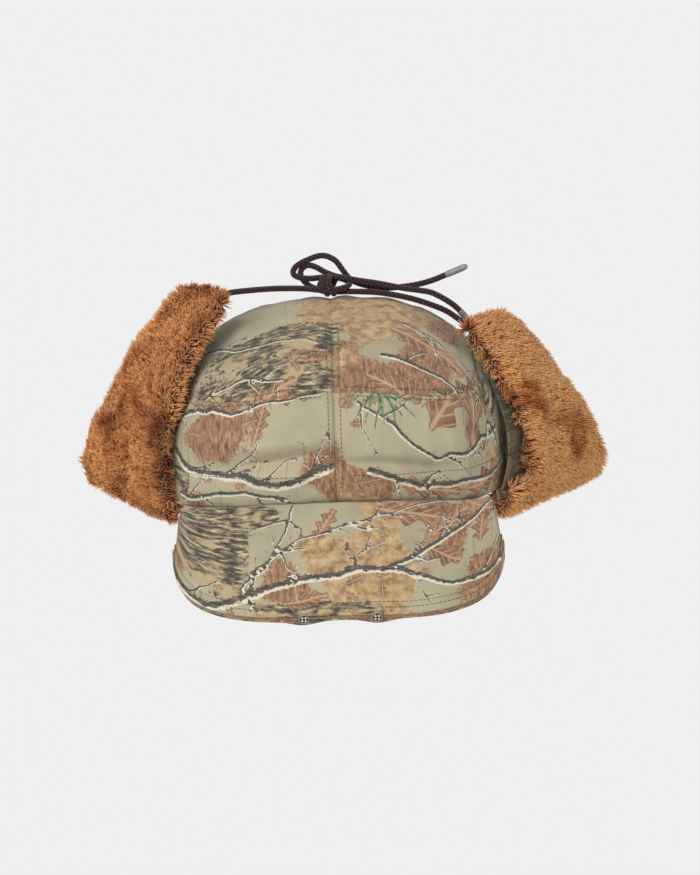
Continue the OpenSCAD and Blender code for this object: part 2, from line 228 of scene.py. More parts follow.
def band_point(k, v, layer):
    """Point on the fixed band: k along it, v from the rim to the fold, layer downwards."""
    phi, fold = band_row(k)
    rim = crown_point(phi, 0, 1 * MM) - mm(0, 0, 0.5)
    fall = (fold - rim).normalized()
    side = fall.cross(Vector((0, 0, 1)))
    down = fall.cross(side).normalized()
    if down.z > 0:
        down = -down
    sag = mm(0, 0, -3 * sin(pi * min(1, v)))
    return rim.lerp(fold, v) + sag + down * layer


# ---- Meshes ----


def new_object(name, mesh):
    thing = bpy.data.objects.new(name, mesh)
    bpy.context.scene.collection.objects.link(thing)
    return thing


def smooth(mesh):
    for polygon in mesh.polygons:
        polygon.use_smooth = True


def grid_normals(points):
    rows, cols = len(points), len(points[0])
    normals = []
    for i in range(rows):
        line = []
        for j in range(cols):
            along = points[min(rows - 1, i + 1)][j] - points[max(0, i - 1)][j]
            across = points[i][min(cols - 1, j + 1)] - points[i][max(0, j - 1)]
            line.append(along.cross(across).normalized())
        normals.append(line)
    return normals


def edge_distance(points, i, j):
    """How far a point of a grid lies from the grid's nearest edge."""
    p = points[i][j]
    edges = (points[0][j], points[-1][j], points[i][0], points[i][-1])
    return min((p - q).length for q in edges)


def cloth_mesh(name, points, uvs, thickness, outwards, attributes=None):
    """A closed sheet: points is the outer face, thickness is inwards, outwards a point test."""
    rows, cols = len(points), len(points[0])
    normals = grid_normals(points)
    mid = points[rows // 2][cols // 2]
    flip = normals[rows // 2][cols // 2].dot(outwards(mid)) < 0
    sign = -1 if flip else 1
    outer = [p for line in points for p in line]
    inner = [
        points[i][j] - normals[i][j] * (sign * thickness)
        for i in range(rows)
        for j in range(cols)
    ]
    n = rows * cols
    faces = []
    for i in range(rows - 1):
        for j in range(cols - 1):
            a, b, c, d = i * cols + j, (i + 1) * cols + j, (i + 1) * cols + j + 1, i * cols + j + 1
            faces.append((a, d, c, b) if flip else (a, b, c, d))
            faces.append((a + n, b + n, c + n, d + n) if flip else (a + n, d + n, c + n, b + n))
    border = [j for j in range(cols)]
    border += [i * cols + cols - 1 for i in range(1, rows)]
    border += [(rows - 1) * cols + j for j in range(cols - 2, -1, -1)]
    border += [i * cols for i in range(rows - 2, 0, -1)]
    for k, a in enumerate(border):
        b = border[(k + 1) % len(border)]
        faces.append((a, a + n, b + n, b) if flip else (a, b, b + n, a + n))
    mesh = bpy.data.meshes.new(name)
    mesh.from_pydata(outer + inner, [], faces)
    flat_uv = [uv for line in uvs for uv in line] * 2
    layer = mesh.uv_layers.new(name="cut")
    for loop in mesh.loops:
        layer.data[loop.index].uv = flat_uv[loop.vertex_index]
    for key, values in (attributes or {}).items():
        data = mesh.attributes.new(key, "FLOAT", "POINT")
        flat = [x for line in values for x in line] * 2
        data.data.foreach_set("value", flat)
    smooth(mesh)
    return mesh


def cloth_object(name, points, uvs, thickness, outwards, material):
    thing = new_object(name, cloth_mesh(name, points, uvs, thickness, outwards))
    thing.data.materials.append(material)
    if material == MATERIALS["camo"]:
        for key, values in print_fields([uv for line in uvs for uv in line]).items():
            data = thing.data.attributes.new(key, "FLOAT", "POINT")
            data.data.foreach_set("value", np.concatenate([values, values]))
    return thing


def from_centre(p):
    return Vector((p.x, p.y, p.z + 0.01))


def ripple(p, scale, depth):
    return noise.noise(p * scale) * depth


# ---- Material tools ----


class Graph:
    """Short calls that add shader or group nodes to one tree."""

    def __init__(self, tree):
        self.tree = tree

    def node(self, kind, **inputs):
        item = self.tree.nodes.new(kind)
        for key, value in inputs.items():
            self.feed(item.inputs[key.replace("_", " ")], value)
        return item

    def feed(self, socket, value):
        if isinstance(value, bpy.types.NodeSocket):
            self.tree.links.new(value, socket)
        elif value is not None:
            socket.default_value = value

    def math(self, op, a, b=None, c=None, clamp=False):
        item = self.tree.nodes.new("ShaderNodeMath")
        item.operation = op
        item.use_clamp = clamp
        for socket, value in zip(item.inputs, (a, b, c)):
            self.feed(socket, value)
        return item.outputs[0]

    def vector(self, op, a, b=None, scale=None):
        item = self.tree.nodes.new("ShaderNodeVectorMath")
        item.operation = op
        self.feed(item.inputs[0], a)
        self.feed(item.inputs[1], b)
        if scale is not None:
            self.feed(item.inputs["Scale"], scale)
        return item.outputs["Value"] if op in ("LENGTH", "DOT_PRODUCT") else item.outputs["Vector"]

    def split(self, vector):
        item = self.node("ShaderNodeSeparateXYZ", Vector=vector)
        return item.outputs[0], item.outputs[1], item.outputs[2]

    def join(self, x, y, z=0.0):
        return self.node("ShaderNodeCombineXYZ", X=x, Y=y, Z=z).outputs[0]

    def noise(self, vector, scale, detail=2.0, rough=0.5, colour=False):
        item = self.node("ShaderNodeTexNoise", Vector=vector, Scale=scale, Detail=detail, Roughness=rough)
        return item.outputs["Color" if colour else "Fac"]

    def ramp(self, fac, stops, smooth_steps=False):
        item = self.node("ShaderNodeValToRGB", Fac=fac)
        band = item.color_ramp
        band.interpolation = "EASE" if smooth_steps else "LINEAR"
        while len(band.elements) < len(stops):
            band.elements.new(0.5)
        for element, (place, colour) in zip(band.elements, stops):
            element.position = place
            element.color = (*colour, 1.0)
        return item.outputs["Color"]

    def step(self, value, low, high):
        """0 at low and 1 at high, smoothly; low may lie above high."""
        item = self.tree.nodes.new("ShaderNodeMapRange")
        item.interpolation_type = "SMOOTHSTEP"
        for key, amount in (("Value", value), ("From Min", low), ("From Max", high)):
            self.feed(item.inputs[key], amount)
        return item.outputs[0]

    def blend(self, fac, a, b, kind="MIX"):
        item = self.tree.nodes.new("ShaderNodeMix")
        item.data_type = "RGBA"
        item.blend_type = kind
        item.clamp_factor = True
        self.feed(item.inputs[0], fac)
        self.feed(item.inputs[6], colour(a))
        self.feed(item.inputs[7], colour(b))
        return item.outputs[2]

    def bump(self, height, strength, distance, normal=None):
        item = self.node("ShaderNodeBump", Height=height, Strength=strength, Distance=distance)
        self.feed(item.inputs["Normal"], normal)
        return item.outputs[0]


def colour(value):
    return (*value, 1.0) if isinstance(value, tuple) and len(value) == 3 else value


def shade(red, green, blue):
    """A colour given in screen steps of 0 to 255."""
    return tuple((c / 255) ** 2.2 for c in (red, green, blue))


def new_material(name, roughness=0.8, metallic=0.0, specular=0.3):
    material = bpy.data.materials.new(name)
    material.use_nodes = True
    graph = Graph(material.node_tree)
    shader = material.node_tree.nodes["Principled BSDF"]
    shader.inputs["Roughness"].default_value = roughness
    shader.inputs["Metallic"].default_value = metallic
    shader.inputs["Specular IOR Level"].default_value = specular
    return material, graph, shader


def cut_coordinates(graph):
    """The piece's own flat pattern, in metres."""
    item = graph.tree.nodes.new("ShaderNodeUVMap")
    item.uv_map = "cut"
    return item.outputs["UV"]


def object_coordinates(graph):
    return graph.tree.nodes.new("ShaderNodeTexCoord").outputs["Object"]


def new_group(name, inputs, outputs):
    tree = bpy.data.node_groups.new(name, "ShaderNodeTree")
    for key, kind in inputs:
        tree.interface.new_socket(key, in_out="INPUT", socket_type=kind)
    for key, kind in outputs:
        tree.interface.new_socket(key, in_out="OUTPUT", socket_type=kind)
    graph = Graph(tree)
    return tree, graph, tree.nodes.new("NodeGroupInput"), tree.nodes.new("NodeGroupOutput")


FLOAT, VECTOR, COLOUR = "NodeSocketFloat", "NodeSocketVector", "NodeSocketColor"


# ---- The woodland print ----

KHAKI = shade(166, 158, 130)
KHAKI_DARK = shade(140, 134, 108)
KHAKI_WARM = shade(176, 162, 130)
RUST = shade(134, 92, 66)
RUST_LIGHT = shade(168, 124, 92)
RUST_DARK = shade(92, 58, 40)
CHARCOAL = shade(58, 56, 54)
INK = shade(30, 29, 28)
BONE = shade(212, 204, 184)
OCHRE = shade(172, 138, 96)
PINE = shade(58, 92, 62)

# Main branches of the print: points along each, and its half width at both ends, in millimetres.
BRANCHES = [
    ([(-106, 50), (-88, 58), (-62, 55), (-30, 61), (-2, 64)], 1.9, 0.9),
    ([(-104, 30), (-82, 22), (-58, 20), (-34, 13), (-4, 21)], 3.0, 2.6),
    ([(-98, 8), (-60, 10), (-30, 5)], 1.7, 1.2),
    ([(14, 56), (34, 46), (58, 27), (80, 30), (112, 37)], 1.2, 1.9),
    ([(20, 19), (48, 10), (78, 14), (118, 19)], 2.4, 1.6),
    ([(98, 72), (104, 44), (110, 16)], 1.2, 0.8),
    ([(-100, 214), (-74, 208), (-52, 208), (-30, 198)], 1.6, 0.9),
    ([(-64, 176), (-34, 184), (-6, 186)], 1.7, 1.1),
    ([(-74, 248), (-40, 232), (-8, 224)], 1.4, 0.9),
    ([(18, 178), (44, 176), (72, 186)], 0.9, 0.7),
    ([(30, 216), (58, 210), (96, 194)], 1.7, 1.1),
    ([(42, 250), (70, 236), (100, 226)], 1.3, 0.8),
    ([(-26, -152), (-30, -166), (-36, -182), (-56, -208)], 0.9, 0.8),
    ([(-50, -198), (-34, -184), (-8, -171), (22, -160), (66, -150)], 1.0, 0.7),
    ([(-98, -224), (-60, -216), (-30, -204), (0, -199), (32, -197), (58, -206), (94, -214)], 3.1, 1.7),
    ([(28, -197), (46, -189), (64, -178), (94, -154)], 2.2, 1.6),
    ([(4, -199), (12, -186), (27, -178)], 0.8, 0.6),
]

# Leaves: centre, half length, half width and turn in degrees.
LEAVES = [
    ((-58, 68), 25, 11, -6), ((-28, 68), 22, 11, 172), ((-44, 50), 12, 6, 80), ((-84, 66), 14, 7, 30),
    ((74, 66), 30, 14, 50), ((92, 56), 30, 12, 72), ((60, 72), 26, 11, 26), ((96, 12), 20, 9, 12),
    ((54, 9), 20, 8, -8), ((106, 66), 22, 9, 96), ((-40, 190), 20, 10, 20), ((56, 232), 26, 12, -24),
    ((84, 210), 24, 12, 60), ((40, 190), 22, 11, 150), ((44, -160), 24, 10, -14), ((66, -166), 22, 10, 40),
    ((-8, -166), 12, 6, 60), ((58, -188), 16, 7, -30), ((84, -176), 14, 7, 80), ((-20, -214), 14, 6, 10),
    ((84, -160), 18, 8, -50),
]

# Bark patches: centre and half sizes. The last and widest is painted shade: it lays dark bark over the ear flaps'
# shells and the rear of the crown's top.
BARKS = [
    ((-50, 200), (50, 22)), ((-34, 232), (46, 16)), ((-74, -182), (22, 34)), ((-62, -158), (30, 8)),
    ((82, 188), (24, 12)), ((-100, 14), (9, 10)), ((112, 60), (14, 12)), ((36, 172), (24, 8)),
    ((-14, -222), (40, 7)), ((0, 360), (260, 60)),
]

# Pine sprig: needles fan out from one point.
SPRIG_ROOT = (26, 70)
SPRIG_TURNS = (-164, -150, -137, -122, -108, -96, -83, -70, -58, -45, -31, -17, -4, 12)
SPRIG_REACH = 30
FAR = 4.0


def wavy(points, dice, sway):
    """A list of points with a displaced one between each two."""
    out = [points[0]]
    for a, b in zip(points, points[1:]):
        dx, dy = b[0] - a[0], b[1] - a[1]
        k = dice.uniform(0.35, 0.65)
        s = dice.uniform(-sway, sway)
        out += [(a[0] + dx * k - dy * s, a[1] + dy * k + dx * s), b]
    return out


def print_strokes():
    """Every stroke of the print: ends, half widths at them, and 1 for a green needle."""
    dice = Random(5)
    strokes = []

    def lay(points, wide, narrow, green):
        count = len(points) - 1
        for i, (a, b) in enumerate(zip(points, points[1:])):
            wa, wb = mix(wide, narrow, i / count), mix(wide, narrow, (i + 1) / count)
            if b[0] < a[0]:
                a, b, wa, wb = b, a, wb, wa
            strokes.append((*a, *b, wa, wb, green))

    def sprout(points, depth):
        for a, b in zip(points, points[1:]):
            for _ in range(2 if depth else 1):
                if dice.random() < (0.62 if depth else 0.35):
                    k = dice.random()
                    turn = atan2(b[1] - a[1], b[0] - a[0]) + dice.choice((-1, 1)) * dice.uniform(0.4, 1.1)
                    reach = dice.uniform(9, 30) if depth else dice.uniform(4, 12)
                    root = (mix(a[0], b[0], k), mix(a[1], b[1], k))
                    tip = (root[0] + reach * cos(turn), root[1] + reach * sin(turn))
                    twig = wavy(wavy([root, tip], dice, 0.16), dice, 0.12)
                    lay(twig, 0.85 if depth else 0.5, 0.4 if depth else 0.3, 0)
                    if depth:
                        sprout(twig, depth - 1)

    for points, wide, narrow in BRANCHES:
        line = wavy(wavy(points, dice, 0.10), dice, 0.08)
        lay(line, wide, narrow, 0)
        sprout(points, 1)
    for turn in SPRIG_TURNS:
        reach = SPRIG_REACH * dice.uniform(0.7, 1.0)
        tip = (SPRIG_ROOT[0] + reach * cos(radians(turn)), SPRIG_ROOT[1] + reach * sin(radians(turn)))
        lay(wavy([SPRIG_ROOT, tip], dice, 0.08), 0.85, 0.35, 1)
    return strokes


def print_leaves():
    """Listed leaves, and small scattered ones."""
    dice = Random(9)
    leaves = list(LEAVES)
    for low, high in ((0, 75), (176, 262), (-224, -152)):
        for _ in range(15):
            leaves.append((
                (dice.uniform(-115, 115), dice.uniform(low, high)),
                dice.uniform(4, 8), dice.uniform(2.2, 3.6), dice.uniform(0, 180),
            ))
    return leaves


def print_fields(flat):
    """What the print has at each place of a flat pattern, as smooth fields on the cloth.

    branch and across: distance from the nearest stroke, plain and signed, in its half widths.
    green: 1 where that stroke is a needle. leaf, leaf_x and leaf_y: distance and place in the
    nearest leaf, whose outline is near 1. bark: above 0 inside a patch of bark.
    """
    spot = np.array(flat, dtype=float) / MM
    sway = np.array([
        noise.noise_vector(Vector((x * 0.045, y * 0.045, 0.0))) for x, y in spot
    ])[:, :2]
    x, y = (spot + sway * 2.4).T
    branch = np.full(len(x), FAR)
    across = np.full(len(x), FAR)
    green = np.zeros(len(x))
    for ax, ay, bx, by, wa, wb, kind in STROKES:
        dx, dy = bx - ax, by - ay
        long = sqrt(dx * dx + dy * dy)
        ox, oy = x - ax, y - ay
        share = np.clip((ox * dx + oy * dy) / (long * long), 0, 1)
        width = wa + (wb - wa) * share
        gap = np.hypot(ox - dx * share, oy - dy * share) / width
        nearer = gap < branch
        branch = np.where(nearer, gap, branch)
        across = np.where(nearer, np.clip((dx * oy - dy * ox) / long / width, -FAR, FAR), across)
        green = np.where(nearer, kind, green)
    best = np.full(len(x), 3.0)
    leaf_x, leaf_y = np.full(len(x), 3.0), np.full(len(x), 3.0)
    for (cx, cy), half_long, half_wide, turn in PRINT_LEAVES:
        c, s = cos(radians(turn)), sin(radians(turn))
        u = ((x - cx) * c + (y - cy) * s) / half_long
        v = ((y - cy) * c - (x - cx) * s) / half_wide
        far = u * u + v * v
        nearer = far < best
        best = np.where(nearer, far, best)
        leaf_x = np.where(nearer, u, leaf_x)
        leaf_y = np.where(nearer, v, leaf_y)
    bark = np.full(len(x), -1.0)
    for (cx, cy), (hx, hy) in BARKS:
        oval = 1 - np.abs((x - cx) / hx) ** 3 - np.abs((y - cy) / hy) ** 3
        bark = np.maximum(bark, np.clip(oval * 1.6 + sway[:, 0] * 1.3, -1, 1))
    return {
        "branch": branch, "across": across, "green": green,
        "leaf": best, "leaf_x": leaf_x, "leaf_y": leaf_y, "bark": bark,
    }


def print_colour(g, cut):
    """The woodland print, from the fields on the cloth and its flat pattern."""
    broad = g.noise(cut, 17.0, 3.0, 0.55)
    fine = g.noise(cut, 330.0, 3.0, 0.65)
    jag = g.math("SUBTRACT", g.noise(cut, 480.0, 2.0, 0.6), 0.5)
    ground = g.ramp(broad, [(0.25, KHAKI_DARK), (0.5, KHAKI), (0.75, KHAKI_WARM)])
    reeds = g.noise(g.vector("MULTIPLY", cut, (330.0, 24.0, 1.0)), 1.0, 2.0, 0.5)
    reed_mask = g.math("MULTIPLY", g.step(reeds, 0.60, 0.66), g.step(broad, 0.44, 0.60))
    result = g.blend(g.math("MULTIPLY", reed_mask, 0.5), ground, shade(116, 102, 76))

    litter_place = g.vector("ADD", cut, (0.31, 0.17, 0.0))
    litter_mask = g.step(g.math("MULTIPLY_ADD", jag, 0.10, g.noise(litter_place, 15.0, 2.0, 0.5)), 0.545, 0.575)
    litter_grain = g.noise(g.vector("MULTIPLY", cut, (520.0, 150.0, 1.0)), 1.0, 3.0, 0.7)
    litter = g.ramp(litter_grain, [(0.32, shade(74, 50, 36)), (0.47, RUST), (0.62, RUST_LIGHT), (0.75, shade(190, 158, 124))])
    result = g.blend(litter_mask, result, litter)
    straw_place = g.vector("ADD", cut, (0.87, 0.53, 0.0))
    straw_mask = g.step(g.math("MULTIPLY_ADD", jag, 0.06, g.noise(straw_place, 13.0, 1.0, 0.5)), 0.575, 0.60)
    straw = g.ramp(g.noise(cut, 150.0, 3.0, 0.7), [(0.35, shade(118, 94, 64)), (0.5, OCHRE), (0.66, shade(196, 168, 126))])
    result = g.blend(straw_mask, result, straw)

    plates = g.noise(g.vector("MULTIPLY", cut, (120.0, 420.0, 1.0)), 1.0, 3.0, 0.65)
    bark = g.ramp(plates, [
        (0.36, INK), (0.46, CHARCOAL), (0.52, shade(120, 104, 80)), (0.62, shade(178, 160, 124)), (0.74, BONE),
    ])
    bark = g.blend(g.step(g.noise(cut, 60.0, 2.0), 0.54, 0.64), bark, shade(170, 152, 112))
    ragged = g.step(g.math("MULTIPLY_ADD", jag, 2.6, attribute(g, "bark")), 0.0, 0.25)
    result = g.blend(ragged, result, bark)

    u, v = attribute(g, "leaf_x"), g.math("ABSOLUTE", attribute(g, "leaf_y"))
    round_edge = g.math("SQRT", g.math("MAXIMUM", g.math("SUBTRACT", 1.0, g.math("MULTIPLY", u, u)), 0.0))
    lobes = g.math("MULTIPLY_ADD", g.math("COSINE", g.math("MULTIPLY_ADD", u, 12.0, 1.0)), 0.26, 0.72)
    inside = g.math("SUBTRACT", g.math("MULTIPLY", round_edge, lobes), v)
    leaf = g.math("MULTIPLY", g.step(inside, 0.0, 0.07), g.step(attribute(g, "leaf"), 1.25, 1.15))
    tone = g.ramp(g.noise(cut, 80.0, 3.0, 0.6), [(0.3, RUST_DARK), (0.48, RUST), (0.68, RUST_LIGHT)])
    side = g.math("FRACT", g.math("MULTIPLY", g.math("SUBTRACT", u, g.math("MULTIPLY", v, 0.6)), 3.6))
    vein = g.math("MAXIMUM", g.step(g.math("ABSOLUTE", g.math("SUBTRACT", side, 0.5)), 0.13, 0.04),
                  g.step(v, 0.12, 0.04))
    tone = g.blend(g.math("MULTIPLY", vein, 0.6), tone, shade(206, 172, 134))
    tone = g.blend(g.step(inside, 0.16, 0.0), tone, RUST_DARK)
    result = g.blend(leaf, result, tone)

    across = g.math("MULTIPLY_ADD", jag, 1.1, attribute(g, "across"))
    near = g.math("MULTIPLY_ADD", jag, 0.9, attribute(g, "branch"))
    stroke = g.math("MULTIPLY", g.step(g.math("ABSOLUTE", across), 1.1, 0.85), g.step(near, 1.35, 1.1))
    grain = g.noise(g.vector("MULTIPLY", cut, (160.0, 700.0, 1.0)), 1.0, 3.0, 0.6)
    bark_side = g.ramp(grain, [(0.35, INK), (0.52, CHARCOAL), (0.70, shade(120, 110, 98))])
    lit = g.step(g.math("MULTIPLY_ADD", fine, 1.5, across), 0.72, 0.30)
    wood = g.blend(lit, bark_side, BONE)
    needle = g.blend(g.step(fine, 0.42, 0.58), PINE, shade(112, 138, 92))
    _, height, _ = g.split(cut)
    print_before_painted_shade = g.blend(stroke, result, g.blend(attribute(g, "green"), wood, needle))
    # Painted shade: the print is darkened where the flat pattern lies past 285 to 300 mm, on the ear flaps' shells and
    # the rear of the crown's top panels.
    return g.blend(g.step(height, 285 * MM, 300 * MM), print_before_painted_shade, shade(150, 138, 122), "MULTIPLY"), fine


def camo_material():
    material, g, shader = new_material("camo cloth", roughness=0.86, specular=0.18)
    cut = cut_coordinates(g)
    tone, fine = print_colour(g, cut)
    worn = g.blend(g.math("MULTIPLY", fine, 0.16), tone, shade(214, 208, 190))
    g.feed(shader.inputs["Base Color"], worn)
    shader.inputs["Sheen Weight"].default_value = 0.12
    shader.inputs["Sheen Roughness"].default_value = 0.5
    g.feed(shader.inputs["Normal"], twill_bump(g, cut, 0.35))
    return material


def twill_bump(g, cut, strength):
    """Fine diagonal ribs of a twill cloth."""
    x, y, _ = g.split(cut)
    rib = g.math("SINE", g.math("MULTIPLY", g.math("ADD", x, g.math("MULTIPLY", y, 0.6)), 2 * pi / (0.9 * MM)))
    thread = g.math("SINE", g.math("MULTIPLY", y, 2 * pi / (0.6 * MM)))
    height = g.math("MULTIPLY_ADD", thread, 0.35, rib)
    rumple = g.noise(cut, 120.0, 3.0, 0.55)
    ribs = g.bump(height, strength, 0.00012)
    return g.bump(rumple, 0.35, 0.0008, ribs)


def fur_material():
    material, g, shader = new_material("fur pile", roughness=0.62, specular=0.25)
    reach = attribute(g, "reach")
    strand = attribute(g, "strand")
    place = object_coordinates(g)
    patch = g.noise(place, 34.0, 2.0, 0.5)
    clump = g.noise(place, 120.0, 2.0, 0.5)
    # Painted shade and highlight: the ramp runs from dark at the roots, as shade between the tufts, through the fur's
    # own orange-brown, to a light painted highlight at the tips.
    fibre = g.ramp(reach, [
        (0.0, shade(88, 34, 8)), (0.3, shade(168, 86, 30)), (0.62, shade(226, 146, 74)), (1.0, shade(255, 206, 142)),
    ])
    darker = g.blend(g.step(patch, 0.50, 0.30), fibre, shade(176, 122, 76), "MULTIPLY")
    lighter = g.blend(g.math("MULTIPLY", g.step(clump, 0.44, 0.66), 0.55), darker, shade(248, 192, 128))
    mixed = g.blend(g.math("MULTIPLY", strand, 0.25), lighter, shade(196, 118, 50))
    g.feed(shader.inputs["Base Color"], mixed)
    shader.inputs["Sheen Weight"].default_value = 0.25
    shader.inputs["Sheen Roughness"].default_value = 0.45
    g.feed(shader.inputs["Normal"], g.bump(g.noise(place, 900.0, 2.0), 0.4, 0.0006))
    return material


def attribute(g, name):
    item = g.tree.nodes.new("ShaderNodeAttribute")
    item.attribute_name = name
    return item.outputs["Fac"]


def cord_material():
    material, g, shader = new_material("braided cord", roughness=0.7, specular=0.25)
    cut = cut_coordinates(g)
    x, y, _ = g.split(cut)
    lean = g.math("MULTIPLY", x, 4 * 2 * pi)
    run = g.math("MULTIPLY", y, 2 * pi / (2.6 * MM))
    one = g.math("SINE", g.math("ADD", lean, run))
    two = g.math("SINE", g.math("SUBTRACT", lean, run))
    braid = g.math("MAXIMUM", one, two)
    fibre = g.noise(g.vector("MULTIPLY", cut, (60.0, 2600.0, 1.0)), 1.0, 2.0)
    # Painted shade and highlight: the colour follows the braid's relief, dark in its grooves and lighter on its
    # ridges.
    tone = g.ramp(braid, [(0.0, shade(18, 9, 11)), (0.6, shade(48, 26, 30)), (1.0, shade(78, 48, 52))])
    g.feed(shader.inputs["Base Color"], g.blend(g.math("MULTIPLY", fibre, 0.4), tone, shade(56, 32, 36)))
    shader.inputs["Sheen Weight"].default_value = 0.2
    g.feed(shader.inputs["Normal"], g.bump(braid, 0.8, 0.0004))
    return material


def plastic_material(name, tone, roughness, grain=0.0002):
    material, g, shader = new_material(name, roughness=roughness, specular=0.45)
    place = object_coordinates(g)
    cloud = g.noise(place, 60.0, 2.0)
    g.feed(shader.inputs["Base Color"], g.blend(g.math("MULTIPLY", cloud, 0.3), tone, tuple(c * 1.35 for c in tone)))
    g.feed(shader.inputs["Normal"], g.bump(g.noise(place, 2600.0, 2.0), 0.25, grain))
    return material


def metal_material(name, tone, roughness):
    material, g, shader = new_material(name, roughness=roughness, metallic=1.0, specular=0.5)
    place = object_coordinates(g)
    brushed = g.noise(g.vector("MULTIPLY", place, (300.0, 4200.0, 300.0)), 1.0, 3.0)
    g.feed(shader.inputs["Base Color"], g.blend(brushed, tone, tuple(c * 0.8 for c in tone)))
    g.feed(shader.inputs["Normal"], g.bump(brushed, 0.2, 0.0001))
    return material


def cloth_material(name, tone, second, scale=900.0):
    """A plain woven cloth for the lining, wadding, sweatband and thread."""
    material, g, shader = new_material(name, roughness=0.9, specular=0.15)
    place = object_coordinates(g)
    weave = g.noise(place, scale, 3.0, 0.6)
    patch = g.noise(place, 30.0, 2.0)
    tone_mix = g.blend(g.step(weave, 0.35, 0.65), second, tone)
    g.feed(shader.inputs["Base Color"], g.blend(g.math("MULTIPLY", patch, 0.35), tone_mix, second))
    shader.inputs["Sheen Weight"].default_value = 0.15
    g.feed(shader.inputs["Normal"], g.bump(weave, 0.5, 0.0004))
    return material


def lens_material():
    material, g, shader = new_material("light lens", roughness=0.12, specular=0.6)
    cut = cut_coordinates(g)
    x, y, _ = g.split(cut)
    corner = g.vector("SUBTRACT", g.join(g.math("ABSOLUTE", x), g.math("ABSOLUTE", y)), (0.95 * MM, 0.95 * MM, 0.0))
    dot = g.step(g.vector("LENGTH", corner), 0.62 * MM, 0.42 * MM)
    rim = g.step(g.vector("LENGTH", g.join(x, y)), 2.34 * MM, 2.44 * MM)
    tone = g.blend(dot, shade(16, 16, 22), shade(240, 240, 236))
    g.feed(shader.inputs["Base Color"], g.blend(rim, tone, shade(214, 204, 190)))
    shader.inputs["Coat Weight"].default_value = 0.6
    shader.inputs["Coat Roughness"].default_value = 0.08
    return material


STROKES = print_strokes()
PRINT_LEAVES = print_leaves()
MATERIALS = {}


def make_materials():
    MATERIALS.update(
        camo=camo_material(),
        fur=fur_material(),
        cord=cord_material(),
        lens=lens_material(),
        lining=cloth_material("lining cloth", shade(112, 74, 44), shade(70, 42, 24)),
        quilt=cloth_material("wadding", shade(226, 222, 210), shade(196, 190, 176), 400.0),
        tape=cloth_material("sweatband tape", shade(62, 58, 50), shade(34, 32, 28)),
        binding=cloth_material("edge binding", shade(170, 140, 100), shade(120, 96, 66)),
        rim=plastic_material("light rim", shade(150, 138, 120), 0.4),
        thread=cloth_material("thread", shade(112, 102, 74), shade(84, 76, 54), 3000.0),
        board=plastic_material("brim board", shade(214, 212, 204), 0.5),
        black=plastic_material("black plastic", shade(26, 26, 28), 0.4),
        green=plastic_material("circuit green", shade(24, 84, 48), 0.35),
        wire=plastic_material("wire jacket", shade(150, 26, 24), 0.4),
        aglet=plastic_material("aglet tube", shade(128, 122, 124), 0.25),
        steel=metal_material("steel", shade(196, 198, 200), 0.3),
        brass=metal_material("brass", shade(206, 170, 96), 0.35),
    )


# ---- Crown ----

PANEL_PINCH = 1.3 * MM
SEAM_PINCH_WIDTH = 3.2 * MM


def rim_arcs(step=0.5):
    """Length along the rim from the front to each half degree."""
    table, last = [0.0], crown_point(0, 0)
    for i in range(1, int(180 / step) + 1):
        here = crown_point(i * step, 0)
        table.append(table[-1] + (Vector((here.x, here.y)) - Vector((last.x, last.y))).length)
        last = here
    return table


ARCS = rim_arcs()


def rim_arc(phi):
    place = min(abs(phi), 180) * 2
    i = min(int(place), len(ARCS) - 2)
    return mix(ARCS[i], ARCS[i + 1], place - i) * (1 if phi >= 0 else -1)


# Folds and dents of the crown: angle from the front, share up, half sizes, turn, depth.
CROWN_FOLDS = [
    (-15, 0.20, 13, 0.032, 0.75, -4.6), (-19, 0.28, 15, 0.04, 0.6, 2.6), (-9, 0.13, 10, 0.03, 0.5, 1.8),
    (-4, 0.16, 9, 0.03, 0.1, -2.4), (14, 0.17, 14, 0.028, -0.5, -3.2), (20, 0.11, 12, 0.025, -0.4, 1.8),
    (22, 0.24, 18, 0.05, -0.35, 1.5), (34, 0.14, 12, 0.04, 0.3, -1.8),
    (-38, 0.16, 15, 0.045, 0.35, -2.2), (-52, 0.30, 12, 0.09, 0.6, 1.6),
    (48, 0.34, 13, 0.08, -0.6, 1.6), (8, 0.37, 16, 0.06, 0.2, 1.1),
    (-30, 0.60, 20, 0.05, 0.2, -1.4), (28, 0.66, 22, 0.06, -0.25, -1.6),
    (120, 0.22, 15, 0.06, 0.4, -2.4), (-125, 0.25, 17, 0.06, -0.4, -2.4),
    (160, 0.30, 15, 0.05, 0.3, -1.9), (-158, 0.18, 13, 0.05, 0.3, -1.9),
]


def crown_lift(phi, t):
    """How far the cloth stands proud of the plain crown at a place on it."""
    lift = 0.0
    for angle, height, half_angle, half_height, turn, depth in CROWN_FOLDS:
        along = (phi - angle) / half_angle
        across = (t - height - turn * 0.003 * (phi - angle)) / half_height
        lift += depth * MM * exp(-along * along - across * across)
    place = crown_point(phi, t)
    lift += ripple(place + Vector((0.3, 0.1, 0.2)), 26.0, 2.4 * MM)
    lift += ripple(place, 75.0, 1.1 * MM)
    lift += ripple(place, 190.0, 0.3 * MM)
    return lift


def crown_top_radius(phi, t):
    """Length down the crown's profile from its top to t."""
    total, last = 0.0, crown_point(phi, 1.0)
    for i in range(1, 7):
        here = crown_point(phi, mix(1.0, t, i / 6))
        total += (here - last).length
        last = here
    return total


